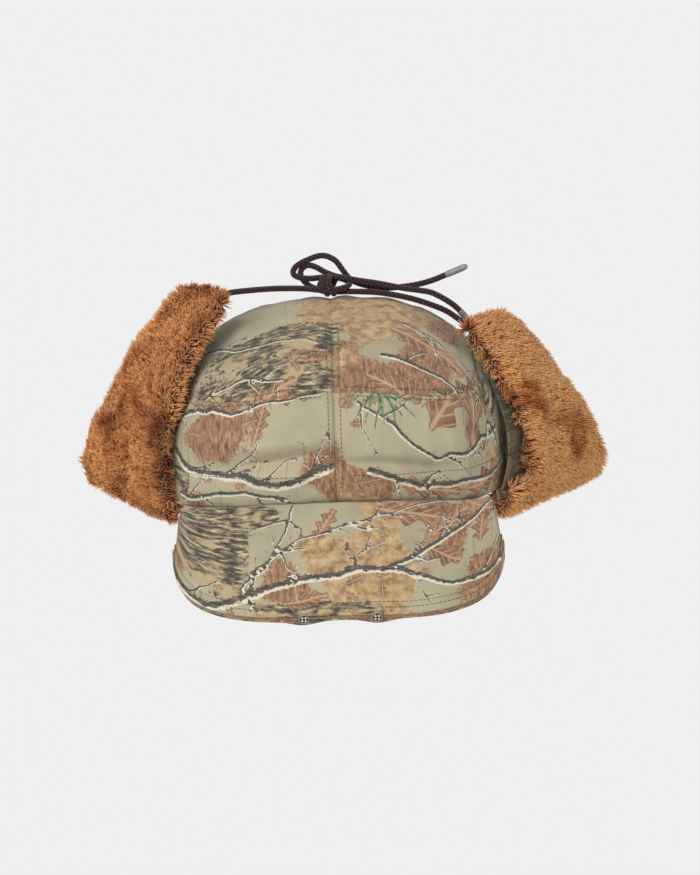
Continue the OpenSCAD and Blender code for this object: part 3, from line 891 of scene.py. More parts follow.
def crown_panel(name, phi_from, phi_to, low, high, cols, rows, pattern):
    """A panel of the crown; low and high give its lower and upper edge at an angle."""
    points, uvs = [], []
    for i in range(cols + 1):
        phi = mix(phi_from, phi_to, i / cols)
        line, cut = [], []
        bottom, top = low(phi), high(phi)
        for j in range(rows + 1):
            t = mix(bottom, top, j / rows)
            lift = crown_lift(phi, t)
            line.append(crown_point(phi, t, -lift))
            cut.append(pattern(phi, t))
        points.append(line)
        uvs.append(cut)
    pinch_edges(points, cols, rows, high(phi_from) > 0.9)
    thing = cloth_object(name, points, uvs, sizes().cloth, from_centre, MATERIALS["camo"])
    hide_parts(name)
    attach(thing, "root")
    return thing


def pinch_edges(points, cols, rows, open_top):
    """Draws the cloth in along the panel's sewn edges, so that each seam is a groove."""
    middle = mm(0, 0, 10)
    for i in range(cols + 1):
        for j in range(rows + 1):
            gaps = [
                (points[i][j] - points[0][j]).length,
                (points[i][j] - points[cols][j]).length,
                (points[i][j] - points[i][0]).length,
            ]
            if not open_top:
                gaps.append((points[i][j] - points[i][rows]).length)
            pull = PANEL_PINCH * bell(min(gaps), SEAM_PINCH_WIDTH)
            points[i][j] = points[i][j] + (middle - points[i][j]).normalized() * pull


def front_pattern(phi, t):
    rho = max(0.0, cos(pi / 2 * t)) ** (2 / PROFILE_EXP)
    return rim_arc(phi) * rho, (crown_point(phi, t) - crown_point(phi, 0)).length


def top_pattern(phi, t):
    radius = crown_top_radius(phi, t)
    flat = crown_point(phi, 0.5)
    heading = atan2(flat.x, -flat.y)
    return radius * sin(heading), 250 * MM - radius * cos(heading)


def back_pattern(phi, t):
    x, y = front_pattern(phi, t)
    side = 1 if phi > 0 else -1
    return side * (x * side - 215 * MM), 72 * MM - y


def make_crown():
    for side, word in ((-1, "left"), (1, "right")):
        near = -0.03
        crown_panel(
            f"crown_front_{word}", side * near, side * 75, lambda phi: 0.0, seam_t, 110, 52, front_pattern,
        )
        crown_panel(
            f"crown_back_{word}", side * 75, side * (180 - near), lambda phi: 0.0, seam_t, 120, 40, back_pattern,
        )
        crown_panel(
            f"crown_top_{word}", side * near, side * (180 - near), lambda phi: seam_t(phi) - 0.003, lambda phi: 0.9985, 170, 64, top_pattern,
        )


def make_lining():
    for side, word in ((-1, "left"), (1, "right")):
        points, uvs = [], []
        cols, rows = 100, 70
        for i in range(cols + 1):
            phi = side * mix(0.012, 179.988, i / cols)
            line, cut = [], []
            for j in range(rows + 1):
                t = mix(0.012, 0.998, j / rows)
                x, y = top_pattern(phi, t)
                quilt = abs(sin((x + y) * pi / (22 * MM))) * abs(sin((x - y) * pi / (22 * MM)))
                dent = max(0.0, -crown_lift(phi, t))
                line.append(crown_point(phi, t, (3.0 + 1.0 * quilt ** 0.5) * MM + dent))
                cut.append((x, y))
            points.append(line)
            uvs.append(cut)
        thing = cloth_object(
            f"lining_{word}", points, uvs, 0.6 * MM, from_centre, MATERIALS["lining"],
        )
        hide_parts(f"lining_{word}")
        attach(thing, "root")
    points, uvs = [], []
    for i in range(241):
        phi = mix(-179.988, 179.988, i / 240)
        line, cut = [], []
        for j in range(13):
            t = mix(0.012, 0.17, j / 12)
            rib = 0.25 * MM * sin(pi * 4 * j / 12) ** 2 + ripple(crown_point(phi, t), 60.0, 0.5 * MM)
            dent = max(0.0, -crown_lift(phi, t))
            line.append(crown_point(phi, t, 5.4 * MM + rib + dent))
            cut.append((rim_arc(phi), t * 0.1))
        points.append(line)
        uvs.append(cut)
    band = cloth_object("sweatband", points, uvs, 1.2 * MM, from_centre, MATERIALS["tape"])
    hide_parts("sweatband")
    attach(band, "root")


# ---- Brim ----

LIGHT_BULGE_WIDTH = 9 * MM


def light_nearness(p):
    """1 at either light and 0 away from both."""
    return max(
        bell((Vector((p.x, p.y)) - Vector((side * LIGHT_X, LIGHT_Y))).length, LIGHT_BULGE_WIDTH)
        for side in (-1, 1)
    )


def brim_uv(p, v, shift):
    return p.x * 1.02, shift - v * 72 * MM


def brim_cover(name, top):
    """One cloth cover of the brim, with its free edge turned towards the piping."""
    cols, rows, wrap = 150, 56, 6
    points, uvs = [], []
    for i in range(cols + 1):
        u = mix(-1, 1, i / cols)
        line, cut = [], []
        for j in range(rows + wrap + 1):
            v = min(1.0, mix(0.004 if top else 0.03, 1, j / rows))
            base = brim_middle(u, v)
            near = light_nearness(base)
            if top:
                layer = 2.3 * MM + ripple(base, 48.0, 0.9 * MM) + ripple(base, 130.0, 0.3 * MM)
                layer -= 0.4 * MM * near * v
                hem_gap = (brim_middle(u, 1) - base).length
                layer -= 0.7 * MM * bell(hem_gap - 6 * MM, 1.6 * MM)
                layer += 0.5 * MM * bell(hem_gap - 2 * MM, 2.4 * MM)
            else:
                layer = -4.4 * MM - ripple(base, 42.0, 0.9 * MM) - 3.6 * MM * near
            layer = mix(layer, (-0.8 if top else -1.8) * MM, ease((abs(u) - 0.93) / 0.07))
            turn = max(0, j - rows) / wrap
            p = brim_point(u, v, layer)
            edge = brim_middle(u, 1)
            outward = Vector((edge.x * 0.9, edge.y + 60 * MM, 0)).normalized()
            if not top:
                push = ease((v - 0.84) / 0.16) * (1 - ease((abs(u) - 0.72) / 0.2))
                p = p + outward * (push * (2.4 + 1.2 * near) * MM)
            if turn > 0:
                p = p + outward * ((1.0 if top else 1.6) * MM * sin(turn * pi / 2))
                rise = -1.6 if top else mix(3.4 + 1.6 * near, 0.6, ease((abs(u) - 0.8) / 0.18))
                p = p + mm(0, 0, (1 - cos(turn * pi / 2)) * rise)
            line.append(p)
            cut.append(brim_uv(p, v + turn * 0.04, -150 * MM if top else 262 * MM))
        points.append(line)
        uvs.append(cut)
    face = (lambda p: Vector((0, 0, 1))) if top else (lambda p: Vector((0, 0, -1)))
    thing = cloth_object(name, points, uvs, 0.9 * MM, face, MATERIALS["camo"])
    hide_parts(name)
    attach(thing, "root")
    return thing


def tube_mesh(name, route, radius, sides, bumps=None):
    """A closed tube along a route, with rounded ends and a flat pattern of turn and length."""
    count = len(route)
    points, uvs, faces, face_uvs = [], [], [], []
    heading = (route[1] - route[0]).normalized()
    side = heading.orthogonal().normalized()
    length = 0.0
    rings = []
    for i in range(count):
        ahead = (route[min(count - 1, i + 1)] - route[max(0, i - 1)]).normalized()
        side = (side - ahead * side.dot(ahead)).normalized()
        third = ahead.cross(side)
        if i:
            length += (route[i] - route[i - 1]).length
        thick = radius * (bumps(i / (count - 1)) if bumps else 1)
        rings.append((route[i], ahead, side.copy(), third, thick, length))
    first, last = rings[0], rings[-1]
    caps_start = [(first[0] - first[1] * first[4] * sin(a), first[4] * cos(a), first[5] - first[4] * a)
                  for a in (1.35, 0.95, 0.5)]
    caps_end = [(last[0] + last[1] * last[4] * sin(a), last[4] * cos(a), last[5] + last[4] * a)
                for a in (0.5, 0.95, 1.35)]
    rows = [(c, first[2], first[3], r, d) for c, r, d in caps_start]
    rows += [(p, s, h, r, d) for p, _, s, h, r, d in rings]
    rows += [(c, last[2], last[3], r, d) for c, r, d in caps_end]
    for centre, s, h, r, _ in rows:
        for k in range(sides):
            a = 2 * pi * k / sides
            points.append(centre + (s * cos(a) + h * sin(a)) * r)
    for i in range(len(rows) - 1):
        for k in range(sides):
            a, b = i * sides + k, i * sides + (k + 1) % sides
            faces.append((a, b, b + sides, a + sides))
            u, w = k / sides, (k + 1) / sides
            low, high = rows[i][4], rows[i + 1][4]
            face_uvs += [(u, low), (w, low), (w, high), (u, high)]
    end = (len(rows) - 1) * sides
    faces.append(tuple(range(sides - 1, -1, -1)))
    face_uvs += [(k / sides, rows[0][4]) for k in range(sides - 1, -1, -1)]
    faces.append(tuple(end + k for k in range(sides)))
    face_uvs += [(k / sides, rows[-1][4]) for k in range(sides)]
    mesh = bpy.data.meshes.new(name)
    mesh.from_pydata(points, [], faces)
    layer = mesh.uv_layers.new(name="cut")
    for i, uv in enumerate(face_uvs):
        layer.data[i].uv = uv
    smooth(mesh)
    return mesh


def smooth_route(points, spacing):
    """An even route through the listed points."""
    fine = []
    for i in range(len(points) - 1):
        a, b = points[max(0, i - 1)], points[i]
        c, d = points[i + 1], points[min(len(points) - 1, i + 2)]
        for k in range(16):
            t = k / 16
            fine.append(0.5 * (
                2 * b + (c - a) * t + (2 * a - 5 * b + 4 * c - d) * t * t + (3 * b - a - 3 * c + d) * t ** 3
            ))
    fine.append(points[-1])
    route, carry = [fine[0]], 0.0
    for a, b in zip(fine, fine[1:]):
        gap = (b - a).length
        while carry + gap >= spacing:
            share = (spacing - carry) / gap
            a = a.lerp(b, share)
            route.append(a)
            gap, carry = (b - a).length, 0.0
        carry += gap
    if (route[-1] - fine[-1]).length > spacing * 0.4:
        route.append(fine[-1])
    return route


def route_length(route):
    return sum((b - a).length for a, b in zip(route, route[1:]))


def make_brim():
    brim_cover("brim_top_cover", True)
    brim_cover("brim_under_cover", False)
    route = []
    for i in range(221):
        u = mix(-0.985, 0.985, i / 220)
        p = brim_point(u, 1, -0.6 * MM)
        outward = Vector((u * 0.9, -1, 0)).normalized()
        near = light_nearness(p)
        route.append(p + outward * mix(0.9, 0.2, near) * MM - mm(0, 0, 0.6 * near))
    piping = new_object("brim_piping", tube_mesh("brim_piping", route, 1.5 * MM, 12))
    piping.data.materials.append(MATERIALS["binding"])
    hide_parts("brim_piping")
    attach(piping, "root")


# ---- Lights and battery case ----


def turned_mesh(name, outline, place, sides=48):
    """A closed turned shape; outline is (radius, height) from the bottom to the top."""
    points, faces, uvs = [], [], []
    spots = []
    for r, z in outline:
        for k in range(sides):
            a = 2 * pi * k / sides
            spots.append((r * cos(a), r * sin(a), z))
    rows = len(outline)
    for i in range(rows - 1):
        for k in range(sides):
            a, b = i * sides + k, i * sides + (k + 1) % sides
            faces.append((a, b, b + sides, a + sides))
    faces.append(tuple(range(sides - 1, -1, -1)))
    faces.append(tuple((rows - 1) * sides + k for k in range(sides)))
    points = [place(Vector(s)) for s in spots]
    mesh = bpy.data.meshes.new(name)
    mesh.from_pydata(points, [], faces)
    layer = mesh.uv_layers.new(name="cut")
    for loop in mesh.loops:
        x, y, _ = spots[loop.vertex_index]
        layer.data[loop.index].uv = (x, y)
    smooth(mesh)
    return mesh


def at_light(side):
    """Moves a point in a light's own frame, whose Z runs forwards, to the hat."""
    turn = pi / 2 + LIGHT_TILT

    def place(p):
        y = p.y * cos(turn) - p.z * sin(turn)
        z = p.y * sin(turn) + p.z * cos(turn)
        return Vector((p.x + side * LIGHT_X, y + LIGHT_Y, z + LIGHT_Z))

    return place


def make_lights():
    for side, word in ((-1, "left"), (1, "right")):
        lens = new_object(f"light_lens_{word}", turned_mesh(
            f"light_lens_{word}",
            [(2.3 * MM, -5 * MM), (2.5 * MM, -4.8 * MM), (2.5 * MM, 2.8 * MM), (2.45 * MM, 3.1 * MM),
             (2.2 * MM, 3.35 * MM), (1.7 * MM, 3.5 * MM), (1.0 * MM, 3.6 * MM), (0.3 * MM, 3.64 * MM)],
            at_light(side),
        ))
        lens.data.materials.append(MATERIALS["lens"])
        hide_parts(f"light_lens_{word}")
        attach(lens, "root")
        bezel = new_object(f"light_bezel_{word}", ring_mesh(f"light_bezel_{word}", at_light(side)))
        bezel.data.materials.append(MATERIALS["rim"])
        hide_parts(f"light_bezel_{word}")
        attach(bezel, "root")


def ring_mesh(name, place, sides=48):
    """The ring round a light: a closed section turned about the light's axis."""
    section = [(2.56, -2.0), (3.0, -2.0), (3.0, 3.2), (2.92, 3.4), (2.72, 3.45), (2.56, 3.3)]
    points, faces = [], []
    for k in range(sides):
        a = 2 * pi * k / sides
        for r, z in section:
            points.append(place(mm(r * cos(a), r * sin(a), z)))
    n = len(section)
    for k in range(sides):
        for i in range(n):
            a, b = k * n + i, k * n + (i + 1) % n
            c, d = ((k + 1) % sides) * n + (i + 1) % n, ((k + 1) % sides) * n + i
            faces.append((a, d, c, b))
    mesh = bpy.data.meshes.new(name)
    mesh.from_pydata(points, [], faces)
    smooth(mesh)
    return mesh


HARD_FINISHES = {
    "brim_stiffener": "board",
    "light_wire_left": "wire",
    "light_wire_right": "wire",
    "battery_case": "black",
    "battery_cover": "black",
    "cover_screw": "steel",
    "coin_cell_left": "steel",
    "coin_cell_right": "steel",
    "battery_contact": "brass",
    "circuit_board": "green",
    "switch_button": "black",
}
BEVELLED = ("battery_case", "battery_cover", "switch_button", "cover_screw")


def make_electronics():
    for name, finish in HARD_FINISHES.items():
        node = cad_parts[name]
        if not node.data.materials:
            node.data.materials.append(MATERIALS[finish])
        for i in range(len(node.data.materials)):
            node.data.materials[i] = MATERIALS[finish]


# ---- Fur ----


def strand_mesh():
    """One tuft of pile: a bent spike, root at the origin, with its reach from 0 to 1."""
    rings = [(0.0, 0.40, 0.0), (0.5, 0.32, 0.05), (0.84, 0.19, 0.14)]
    points, faces, reach = [], [], []
    for height, width, bend in rings:
        for k in range(3):
            a = 2 * pi * k / 3
            points.append(mm(width * cos(a), width * sin(a), 0) + Vector((bend, 0, height)) * MM * 10)
            reach.append(height)
    points.append(Vector((0.24, 0, 1.0)) * MM * 10)
    reach.append(1.0)
    faces.append((2, 1, 0))
    for i in range(len(rings) - 1):
        for k in range(3):
            a, b = i * 3 + k, i * 3 + (k + 1) % 3
            faces.append((a, b, b + 3, a + 3))
    low = (len(rings) - 1) * 3
    for k in range(3):
        faces.append((low + k, low + (k + 1) % 3, len(points) - 1))
    mesh = bpy.data.meshes.new("tuft")
    mesh.from_pydata(points, [], faces)
    data = mesh.attributes.new("reach", "FLOAT", "POINT")
    data.data.foreach_set("value", reach)
    smooth(mesh)
    return mesh


def fur_nodes():
    """Grows tufts from a pad and keeps the pad below them."""
    tree = bpy.data.node_groups.new("grow fur", "GeometryNodeTree")
    face = tree.interface
    face.new_socket("Pad", in_out="INPUT", socket_type="NodeSocketGeometry")
    for name, kind in (
        ("Tuft", "NodeSocketObject"), ("Finish", "NodeSocketMaterial"), ("Density", FLOAT), ("Seed", "NodeSocketInt"),
        ("Length", FLOAT), ("Comb", VECTOR), ("Lean", FLOAT), ("Clump scale", FLOAT), ("Clump", FLOAT),
    ):
        face.new_socket(name, in_out="INPUT", socket_type=kind)
    face.new_socket("Fur", in_out="OUTPUT", socket_type="NodeSocketGeometry")
    g = Graph(tree)
    start, end = tree.nodes.new("NodeGroupInput"), tree.nodes.new("NodeGroupOutput")
    given = start.outputs

    grow = named_value(g, "grow")
    spread = tree.nodes.new("GeometryNodeDistributePointsOnFaces")
    g.feed(spread.inputs["Mesh"], given["Pad"])
    g.feed(spread.inputs["Density"], g.math("MULTIPLY", given["Density"], grow))
    g.feed(spread.inputs["Seed"], given["Seed"])

    place = tree.nodes.new("GeometryNodeInputPosition").outputs[0]
    swirl = g.noise(place, 30.0, 1.0, 0.5, colour=True)
    locks = g.noise(place, given["Clump scale"], 1.0, 0.5, colour=True)
    swirl = g.vector("SCALE", g.vector("SUBTRACT", swirl, (0.5, 0.5, 0.5)), scale=2.2)
    locks = g.vector("SCALE", g.vector("SUBTRACT", locks, (0.5, 0.5, 0.5)), scale=given["Clump"])
    loose = tree.nodes.new("FunctionNodeRandomValue")
    loose.data_type = "FLOAT_VECTOR"
    loose.inputs["Min"].default_value = (-0.15, -0.15, -0.15)
    loose.inputs["Max"].default_value = (0.15, 0.15, 0.15)
    g.feed(loose.inputs["Seed"], given["Seed"])
    flow = g.vector("ADD", g.vector("ADD", given["Comb"], swirl), g.vector("ADD", locks, loose.outputs["Value"]))
    aim = g.vector("ADD", g.vector("SCALE", spread.outputs["Normal"], scale=g.math("SUBTRACT", 1.0, given["Lean"])),
                   g.vector("SCALE", flow, scale=given["Lean"]))
    turn = tree.nodes.new("FunctionNodeAlignRotationToVector")
    turn.axis = "Z"
    g.feed(turn.inputs["Vector"], aim)

    height = tree.nodes.new("FunctionNodeRandomValue")
    height.data_type = "FLOAT"
    height.inputs[2].default_value = 0.74
    height.inputs[3].default_value = 1.06
    g.feed(height.inputs["Seed"], g.math("ADD", given["Seed"], 7.0))
    size = g.math("MULTIPLY", height.outputs[1], g.math("DIVIDE", given["Length"], 10 * MM))
    scale = g.join(1.0, 1.0, size)

    place_tufts = tree.nodes.new("GeometryNodeInstanceOnPoints")
    tuft = tree.nodes.new("GeometryNodeObjectInfo")
    g.feed(tuft.inputs["Object"], given["Tuft"])
    g.feed(place_tufts.inputs["Points"], spread.outputs["Points"])
    g.feed(place_tufts.inputs["Instance"], tuft.outputs["Geometry"])
    g.feed(place_tufts.inputs["Rotation"], turn.outputs[0])
    g.feed(place_tufts.inputs["Scale"], scale)

    shade_value = tree.nodes.new("FunctionNodeRandomValue")
    shade_value.data_type = "FLOAT"
    g.feed(shade_value.inputs["Seed"], g.math("ADD", given["Seed"], 3.0))
    keep = tree.nodes.new("GeometryNodeStoreNamedAttribute")
    keep.data_type = "FLOAT"
    keep.domain = "INSTANCE"
    keep.inputs["Name"].default_value = "strand"
    g.feed(keep.inputs["Geometry"], place_tufts.outputs["Instances"])
    g.feed(keep.inputs["Value"], shade_value.outputs[1])

    both = tree.nodes.new("GeometryNodeJoinGeometry")
    g.feed(both.inputs[0], keep.outputs[0])
    g.feed(both.inputs[0], given["Pad"])
    real = tree.nodes.new("GeometryNodeRealizeInstances")
    g.feed(real.inputs[0], both.outputs[0])
    finish = tree.nodes.new("GeometryNodeSetMaterial")
    g.feed(finish.inputs["Geometry"], real.outputs[0])
    g.feed(finish.inputs["Material"], given["Finish"])
    g.feed(end.inputs[0], finish.outputs[0])
    return tree


def named_value(g, name):
    item = g.tree.nodes.new("GeometryNodeInputNamedAttribute")
    item.data_type = "FLOAT"
    item.inputs["Name"].default_value = name
    return item.outputs[0]


def apply_nodes(thing, tree, **values):
    """Runs a node tree on a piece and keeps its result as the piece's plain mesh."""
    modifier = thing.modifiers.new(tree.name, "NODES")
    modifier.node_group = tree
    sockets = {s.name: s.identifier for s in tree.interface.items_tree if s.in_out == "INPUT"}
    for key, value in values.items():
        modifier[sockets[key.replace("_", " ")]] = value
    bpy.context.view_layer.update()
    result = bpy.data.meshes.new_from_object(thing.evaluated_get(bpy.context.evaluated_depsgraph_get()))
    thing.modifiers.clear()
    thing.data = result
    smooth(result)
    return thing


TOOLS = {}


def fur_piece(name, points, thickness, outwards, comb, density, seed, length=None, lean=0.58):
    """A closed pad of fur with tufts on its outer face."""
    rows, cols = len(points), len(points[0])
    blank = [[(0.0, 0.0)] * cols for _ in range(rows)]
    grow = [[1.0] * cols for _ in range(rows)]
    mesh = cloth_mesh(name, points, blank, thickness, outwards, {"grow": grow})
    inner = rows * cols
    for i in range(inner, 2 * inner):
        mesh.attributes["grow"].data[i].value = 0.0
    # The pad takes the dark root end of the fur's ramp: painted shade between the tufts.
    reach = mesh.attributes.new("reach", "FLOAT", "POINT")
    reach.data.foreach_set("value", [0.16] * (2 * inner))
    thing = new_object(name, mesh)
    apply_nodes(
        thing, TOOLS["fur"], Tuft=TOOLS["tuft"], Finish=MATERIALS["fur"], Density=density, Seed=seed,
        Length=length or sizes().fur, Comb=tuple(comb), Lean=lean, Clump_scale=210.0, Clump=1.4,
    )
    return thing


# ---- Flaps ----


def dome(a, b, power=3.5):
    """1 in the middle of a unit square, falling in a round edge to 0."""
    x, y = abs(2 * a - 1), abs(2 * b - 1)
    return sqrt(max(0.0, 1 - x ** power)) * sqrt(max(0.0, 1 - y ** power))


def flap_grid(flap, cols, rows, s_span, t_span, layer, taper=False):
    """Points on a flap; with taper, the front edge runs in from the tip's corner to the first of s_span."""
    grid = []
    for i in range(cols + 1):
        line = []
        for j in range(rows + 1):
            t = mix(*t_span, j / rows)
            start = s_span[0] * max(0.0, 1 - t) ** 0.7 if taper else s_span[0]
            line.append(flap.point(mix(start, s_span[1], i / cols), t, layer(i / cols, j / rows)))
        grid.append(line)
    return grid


def flat_pattern(points, shift):
    """A flat pattern of a grid, from its lengths along both ways."""
    rows, cols = len(points), len(points[0])
    middle_row, middle_col = rows // 2, cols // 2
    xs, ys = [0.0], [0.0]
    for i in range(1, rows):
        xs.append(xs[-1] + (points[i][middle_col] - points[i - 1][middle_col]).length)
    for j in range(1, cols):
        ys.append(ys[-1] + (points[middle_row][j] - points[middle_row][j - 1]).length)
    return [[(x + shift[0] * MM, y + shift[1] * MM) for y in ys] for x in xs]


def make_ear_flap(word, seed):
    flap = FLAPS[word]
    body = f"ear_flap_{word}"
    out = flap.out

    def shell_layer(a, b):
        spot = flap.middle(a, b)
        return 1.2 * MM + ripple(spot, 40.0, 0.8 * MM)

    points = flap_grid(flap, 60, 70, (0, 1), (0.085, 1.0), shell_layer)
    # The shell's pattern starts at 310 mm, in the wide bark patch and the darkened part of the print: painted shade on
    # the shell.
    shell = cloth_object(
        f"ear_flap_{word}_shell", points, flat_pattern(points, (-60, 310)), 1.0 * MM, lambda p: out,
        MATERIALS["camo"],
    )
    wadding_points = flap_grid(
        flap, 40, 44, (max(0.03, FUR_START[word] + 0.06), 0.97), (0.10, 0.975),
        lambda a, b: (1.9 + 2.2 * dome(a, b)) * MM,
    )
    wadding = cloth_object(
        f"ear_flap_{word}_wadding", wadding_points, flat_pattern(wadding_points, (0, 0)), 0.6 * MM,
        lambda p: out, MATERIALS["quilt"],
    )
    pad = flap_grid(
        flap, 40, 46, (FUR_START[word], 1.035), (0.07, 1.03),
        lambda a, b: (5.0 + 5.2 * dome(a, b)) * MM + ripple(flap.middle(a, b), 45.0, 2.4 * MM),
        taper=word == "right",
    )
    comb = FLAP_COMB[word]
    fur = fur_piece(f"ear_flap_{word}_fur", pad, 3.0 * MM, lambda p: out, comb, sizes().density, seed)
    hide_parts(f"ear_flap_{word}_shell")
    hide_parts(f"ear_flap_{word}_wadding")
    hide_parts(f"ear_flap_{word}_fur")
    for piece, slot_name in ((shell, "camo_cloth"), (wadding, "wadding"), (fur, "fur")):
        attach(piece, body)


# How far in from the front edge the fur starts, at the fold line, as a share of the flap's width.
FUR_START = {"left": -0.02, "right": 0.26}
FLAP_COMB = {"left": (-0.35, -0.35, 0.25), "right": (0.35, -0.35, 0.1)}


def make_neck_flap():
    def grid(cols, rows, s_span, t_span, layer):
        return [
            [
                neck_point(mix(*s_span, i / cols), mix(*t_span, j / rows), layer(i / cols, j / rows))
                for j in range(rows + 1)
            ]
            for i in range(cols + 1)
        ]

    outwards = lambda p: Vector((0, 1, 0))
    points = grid(80, 40, (-1, 1), (0.13, 1), lambda a, b: 1.1 * MM + ripple(neck_middle(a * 2 - 1, b), 40, 0.7 * MM))
    shell = cloth_object(
        "neck_flap_shell", points, flat_pattern(points, (-80, 0)), 1.0 * MM, outwards, MATERIALS["camo"],
    )
    soft = grid(60, 30, (-0.97, 0.97), (0.16, 0.97), lambda a, b: (1.9 + 2.2 * dome(a, b)) * MM)
    wadding = cloth_object(
        "neck_flap_wadding", soft, flat_pattern(soft, (0, 0)), 0.6 * MM, outwards, MATERIALS["quilt"],
    )
    pad = grid(
        60, 34, (-1.03, 1.03), (0.11, 1.04),
        lambda a, b: (5.0 + 5.0 * dome(a, b)) * MM + ripple(neck_middle(a * 2 - 1, b), 45.0, 2.2 * MM),
    )
    fur = fur_piece("neck_flap_fur", pad, 3.0 * MM, outwards, (0.1, 0.4, -0.4), sizes().density, 31)
    for piece, name, slot_name in (
        (shell, "neck_flap_shell", "camo_cloth"),
        (wadding, "neck_flap_wadding", "wadding"),
        (fur, "neck_flap_fur", "fur"),
    ):
        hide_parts(name)
        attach(piece, "neck_flap")


BAND_REACH = 0.80


def make_band():
    cols, rows = 200, 20
    downwards = lambda p: Vector((0, 0, -1))
    points = [
        [band_point(i / cols, mix(-0.07, BAND_REACH, j / rows), 0.9 * MM) for j in range(rows + 1)]
        for i in range(cols + 1)
    ]
    shell = cloth_object(
        "band_shell", points, flat_pattern(points, (-200, 10)), 0.9 * MM, downwards, MATERIALS["camo"],
    )
    pad = [
        [
            band_point(i / cols, mix(-0.05, BAND_REACH + 0.05, j / rows), (3.2 + 1.6 * dome(i / cols, j / rows)) * MM)
            for j in range(rows + 1)
        ]
        for i in range(cols + 1)
    ]
    fur = fur_piece(
        "band_fur", pad, 1.8 * MM, downwards, (0, 0, -0.2), sizes().density * 0.5, 41, length=6.5 * MM, lean=0.72,
    )
    for piece, name, slot_name in ((shell, "band_shell", "camo_cloth"), (fur, "band_fur", "fur")):
        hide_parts(name)
        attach(piece, "root")


def fold_strip(name, ring, cols, axis, comb, seed, outwards):
    """Fur over a fold line, bending between the band and its flap."""
    rows = 14
    points = [[ring(i / cols, j / rows) for j in range(rows + 1)] for i in range(cols + 1)]
    strip = fur_piece(
        name, points, 2.2 * MM, outwards, comb, sizes().density * 0.7, seed, length=sizes().fur * 0.85,
    )
    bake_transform(strip)
    return strip


def make_folds():
    for word, seed in (("left", 51), ("right", 61)):
        flap = FLAPS[word]
        a, b = flap.corners[0], flap.corners[1]
        axis = (b - a).normalized()

        def ring(s, w, flap=flap):
            """From the band (w 0) round the outside of the fold to the flap (w 1)."""
            fold = flap.corners[0].lerp(flap.corners[1], s)
            rim = crown_point(flap_rim_phi(flap, s), 0, 1 * MM)
            band_side = fold.lerp(rim, 0.24) - mm(0, 0, 5.0)
            flap_side = flap.point(s, 0.12, 7.5 * MM)
            corner = fold + flap.out * (7.0 * MM) - mm(0, 0, 6.5) - Vector((0, 0, 1.6 * flap.droop * mix(0.5, 1, s)))
            k = w
            return (1 - k) ** 2 * band_side + 2 * k * (1 - k) * corner + k * k * flap_side

        middle = ring(0.5, 0.0)
        far = ring(0.5, 1.0)
        start = middle.lerp(far, 0.25)
        end = middle.lerp(far, 0.8)
        run = end - start
        run = run - axis * run.dot(axis)
        fold_strip(
            f"ear_flap_{word}_fold_fur", ring, 44, axis,
            FLAP_COMB[word], seed, lambda p, out=flap.out: out + Vector((0, 0, -1)),
        )

    def neck_ring(s, w):
        across = mix(-NECK_HALF_W, NECK_HALF_W, s)
        band_side = mm(0, 0, 0) + Vector((across, 90 * MM, NECK_Z - 5 * MM))
        corner = Vector((across, 108 * MM, NECK_Z - 8 * MM))
        flap_side = neck_point(mix(-1, 1, s), 0.17, 7.5 * MM)
        return (1 - w) ** 2 * band_side + 2 * w * (1 - w) * corner + w * w * flap_side

    start = neck_ring(0.5, 0.0).lerp(neck_ring(0.5, 1.0), 0.25)
    end = neck_ring(0.5, 0.0).lerp(neck_ring(0.5, 1.0), 0.8)
    fold_strip(
        "neck_flap_fold_fur", neck_ring, 60, Vector((1, 0, 0)), (0.0, 0.4, -0.4), 71,
        lambda p: Vector((0, 1, -1)),
    )


def flap_rim_phi(flap, s):
    """Rim angle behind a place on an ear flap's fold line."""
    return flap.side * mix(64, 100, s)


# ---- Tie cord ----

LEFT_ROUTE = [
    (-66, 19, 84), (-59, 23, 86.5), (-45, 28, 85.5), (-30, 31, 84.5), (-15, 32, 83.4), (-6, 31.6, 82.4),
    (2, 31.6, 82.2), (8.6, 33.4, 82.8), (11, 37.4, 83), (8.4, 41, 83.6), (2, 42.6, 84.6),
    (-5, 41.2, 85.4), (-12, 39.2, 86), (-18, 39.4, 87), (-21, 40.5, 89), (-19, 42.5, 92.5), (-12, 44.5, 95.5),
    (-4, 46, 97), (3, 45.5, 94), (7.5, 44, 88), (12, 42.8, 82.5), (20, 42.2, 79), (31, 42, 77), (46, 42, 78),
    (57, 41.2, 81), (66, 40.5, 85),
]
LEFT_AGLET = ((66.3, 40.5, 85.1), (77, 40, 90))
RIGHT_ROUTE = [
    (80, 20, 60.5), (74, 25, 63), (66, 29, 67.5), (56, 31, 71.5), (44, 32, 75.5), (28, 33.5, 78.5),
    (14, 34.3, 79.3), (1.4, 34.5, 79.5),
    (-3, 35.6, 79.2), (-8, 37.8, 80), (-12.6, 39.8, 81.6), (-16.2, 41.8, 85.4), (-16.4, 43.2, 89.4), (-13, 44, 92),
    (-8.4, 44, 91), (-3, 42.6, 88.2), (3, 40.2, 86.6), (9, 38.4, 86), (16, 37.4, 84.8), (28, 36.5, 82.8), (40, 35, 80.5), (49, 33.5, 79.5),
    (57, 32, 78.5), (64, 31, 75), (69.5, 30.5, 71), (73, 30.3, 67.5),
]
RIGHT_AGLET = ((73.2, 30.3, 67.2), (80.5, 30, 57.5))
KNOT_CENTRE = (0, 36, 83)


def make_aglet(name, ends):
    a, b = mm(*ends[0]), mm(*ends[1])
    route = [a.lerp(b, i / 24) for i in range(25)]

    def bumps(k):
        return 1.0 - 0.12 * bell(k - 1, 0.08) - 0.10 * bell(k, 0.05)

    thing = new_object(name, tube_mesh(name, route, 1.9 * MM, 20, bumps))
    thing.data.materials.append(MATERIALS["aglet"])
    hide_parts(name)
    return thing


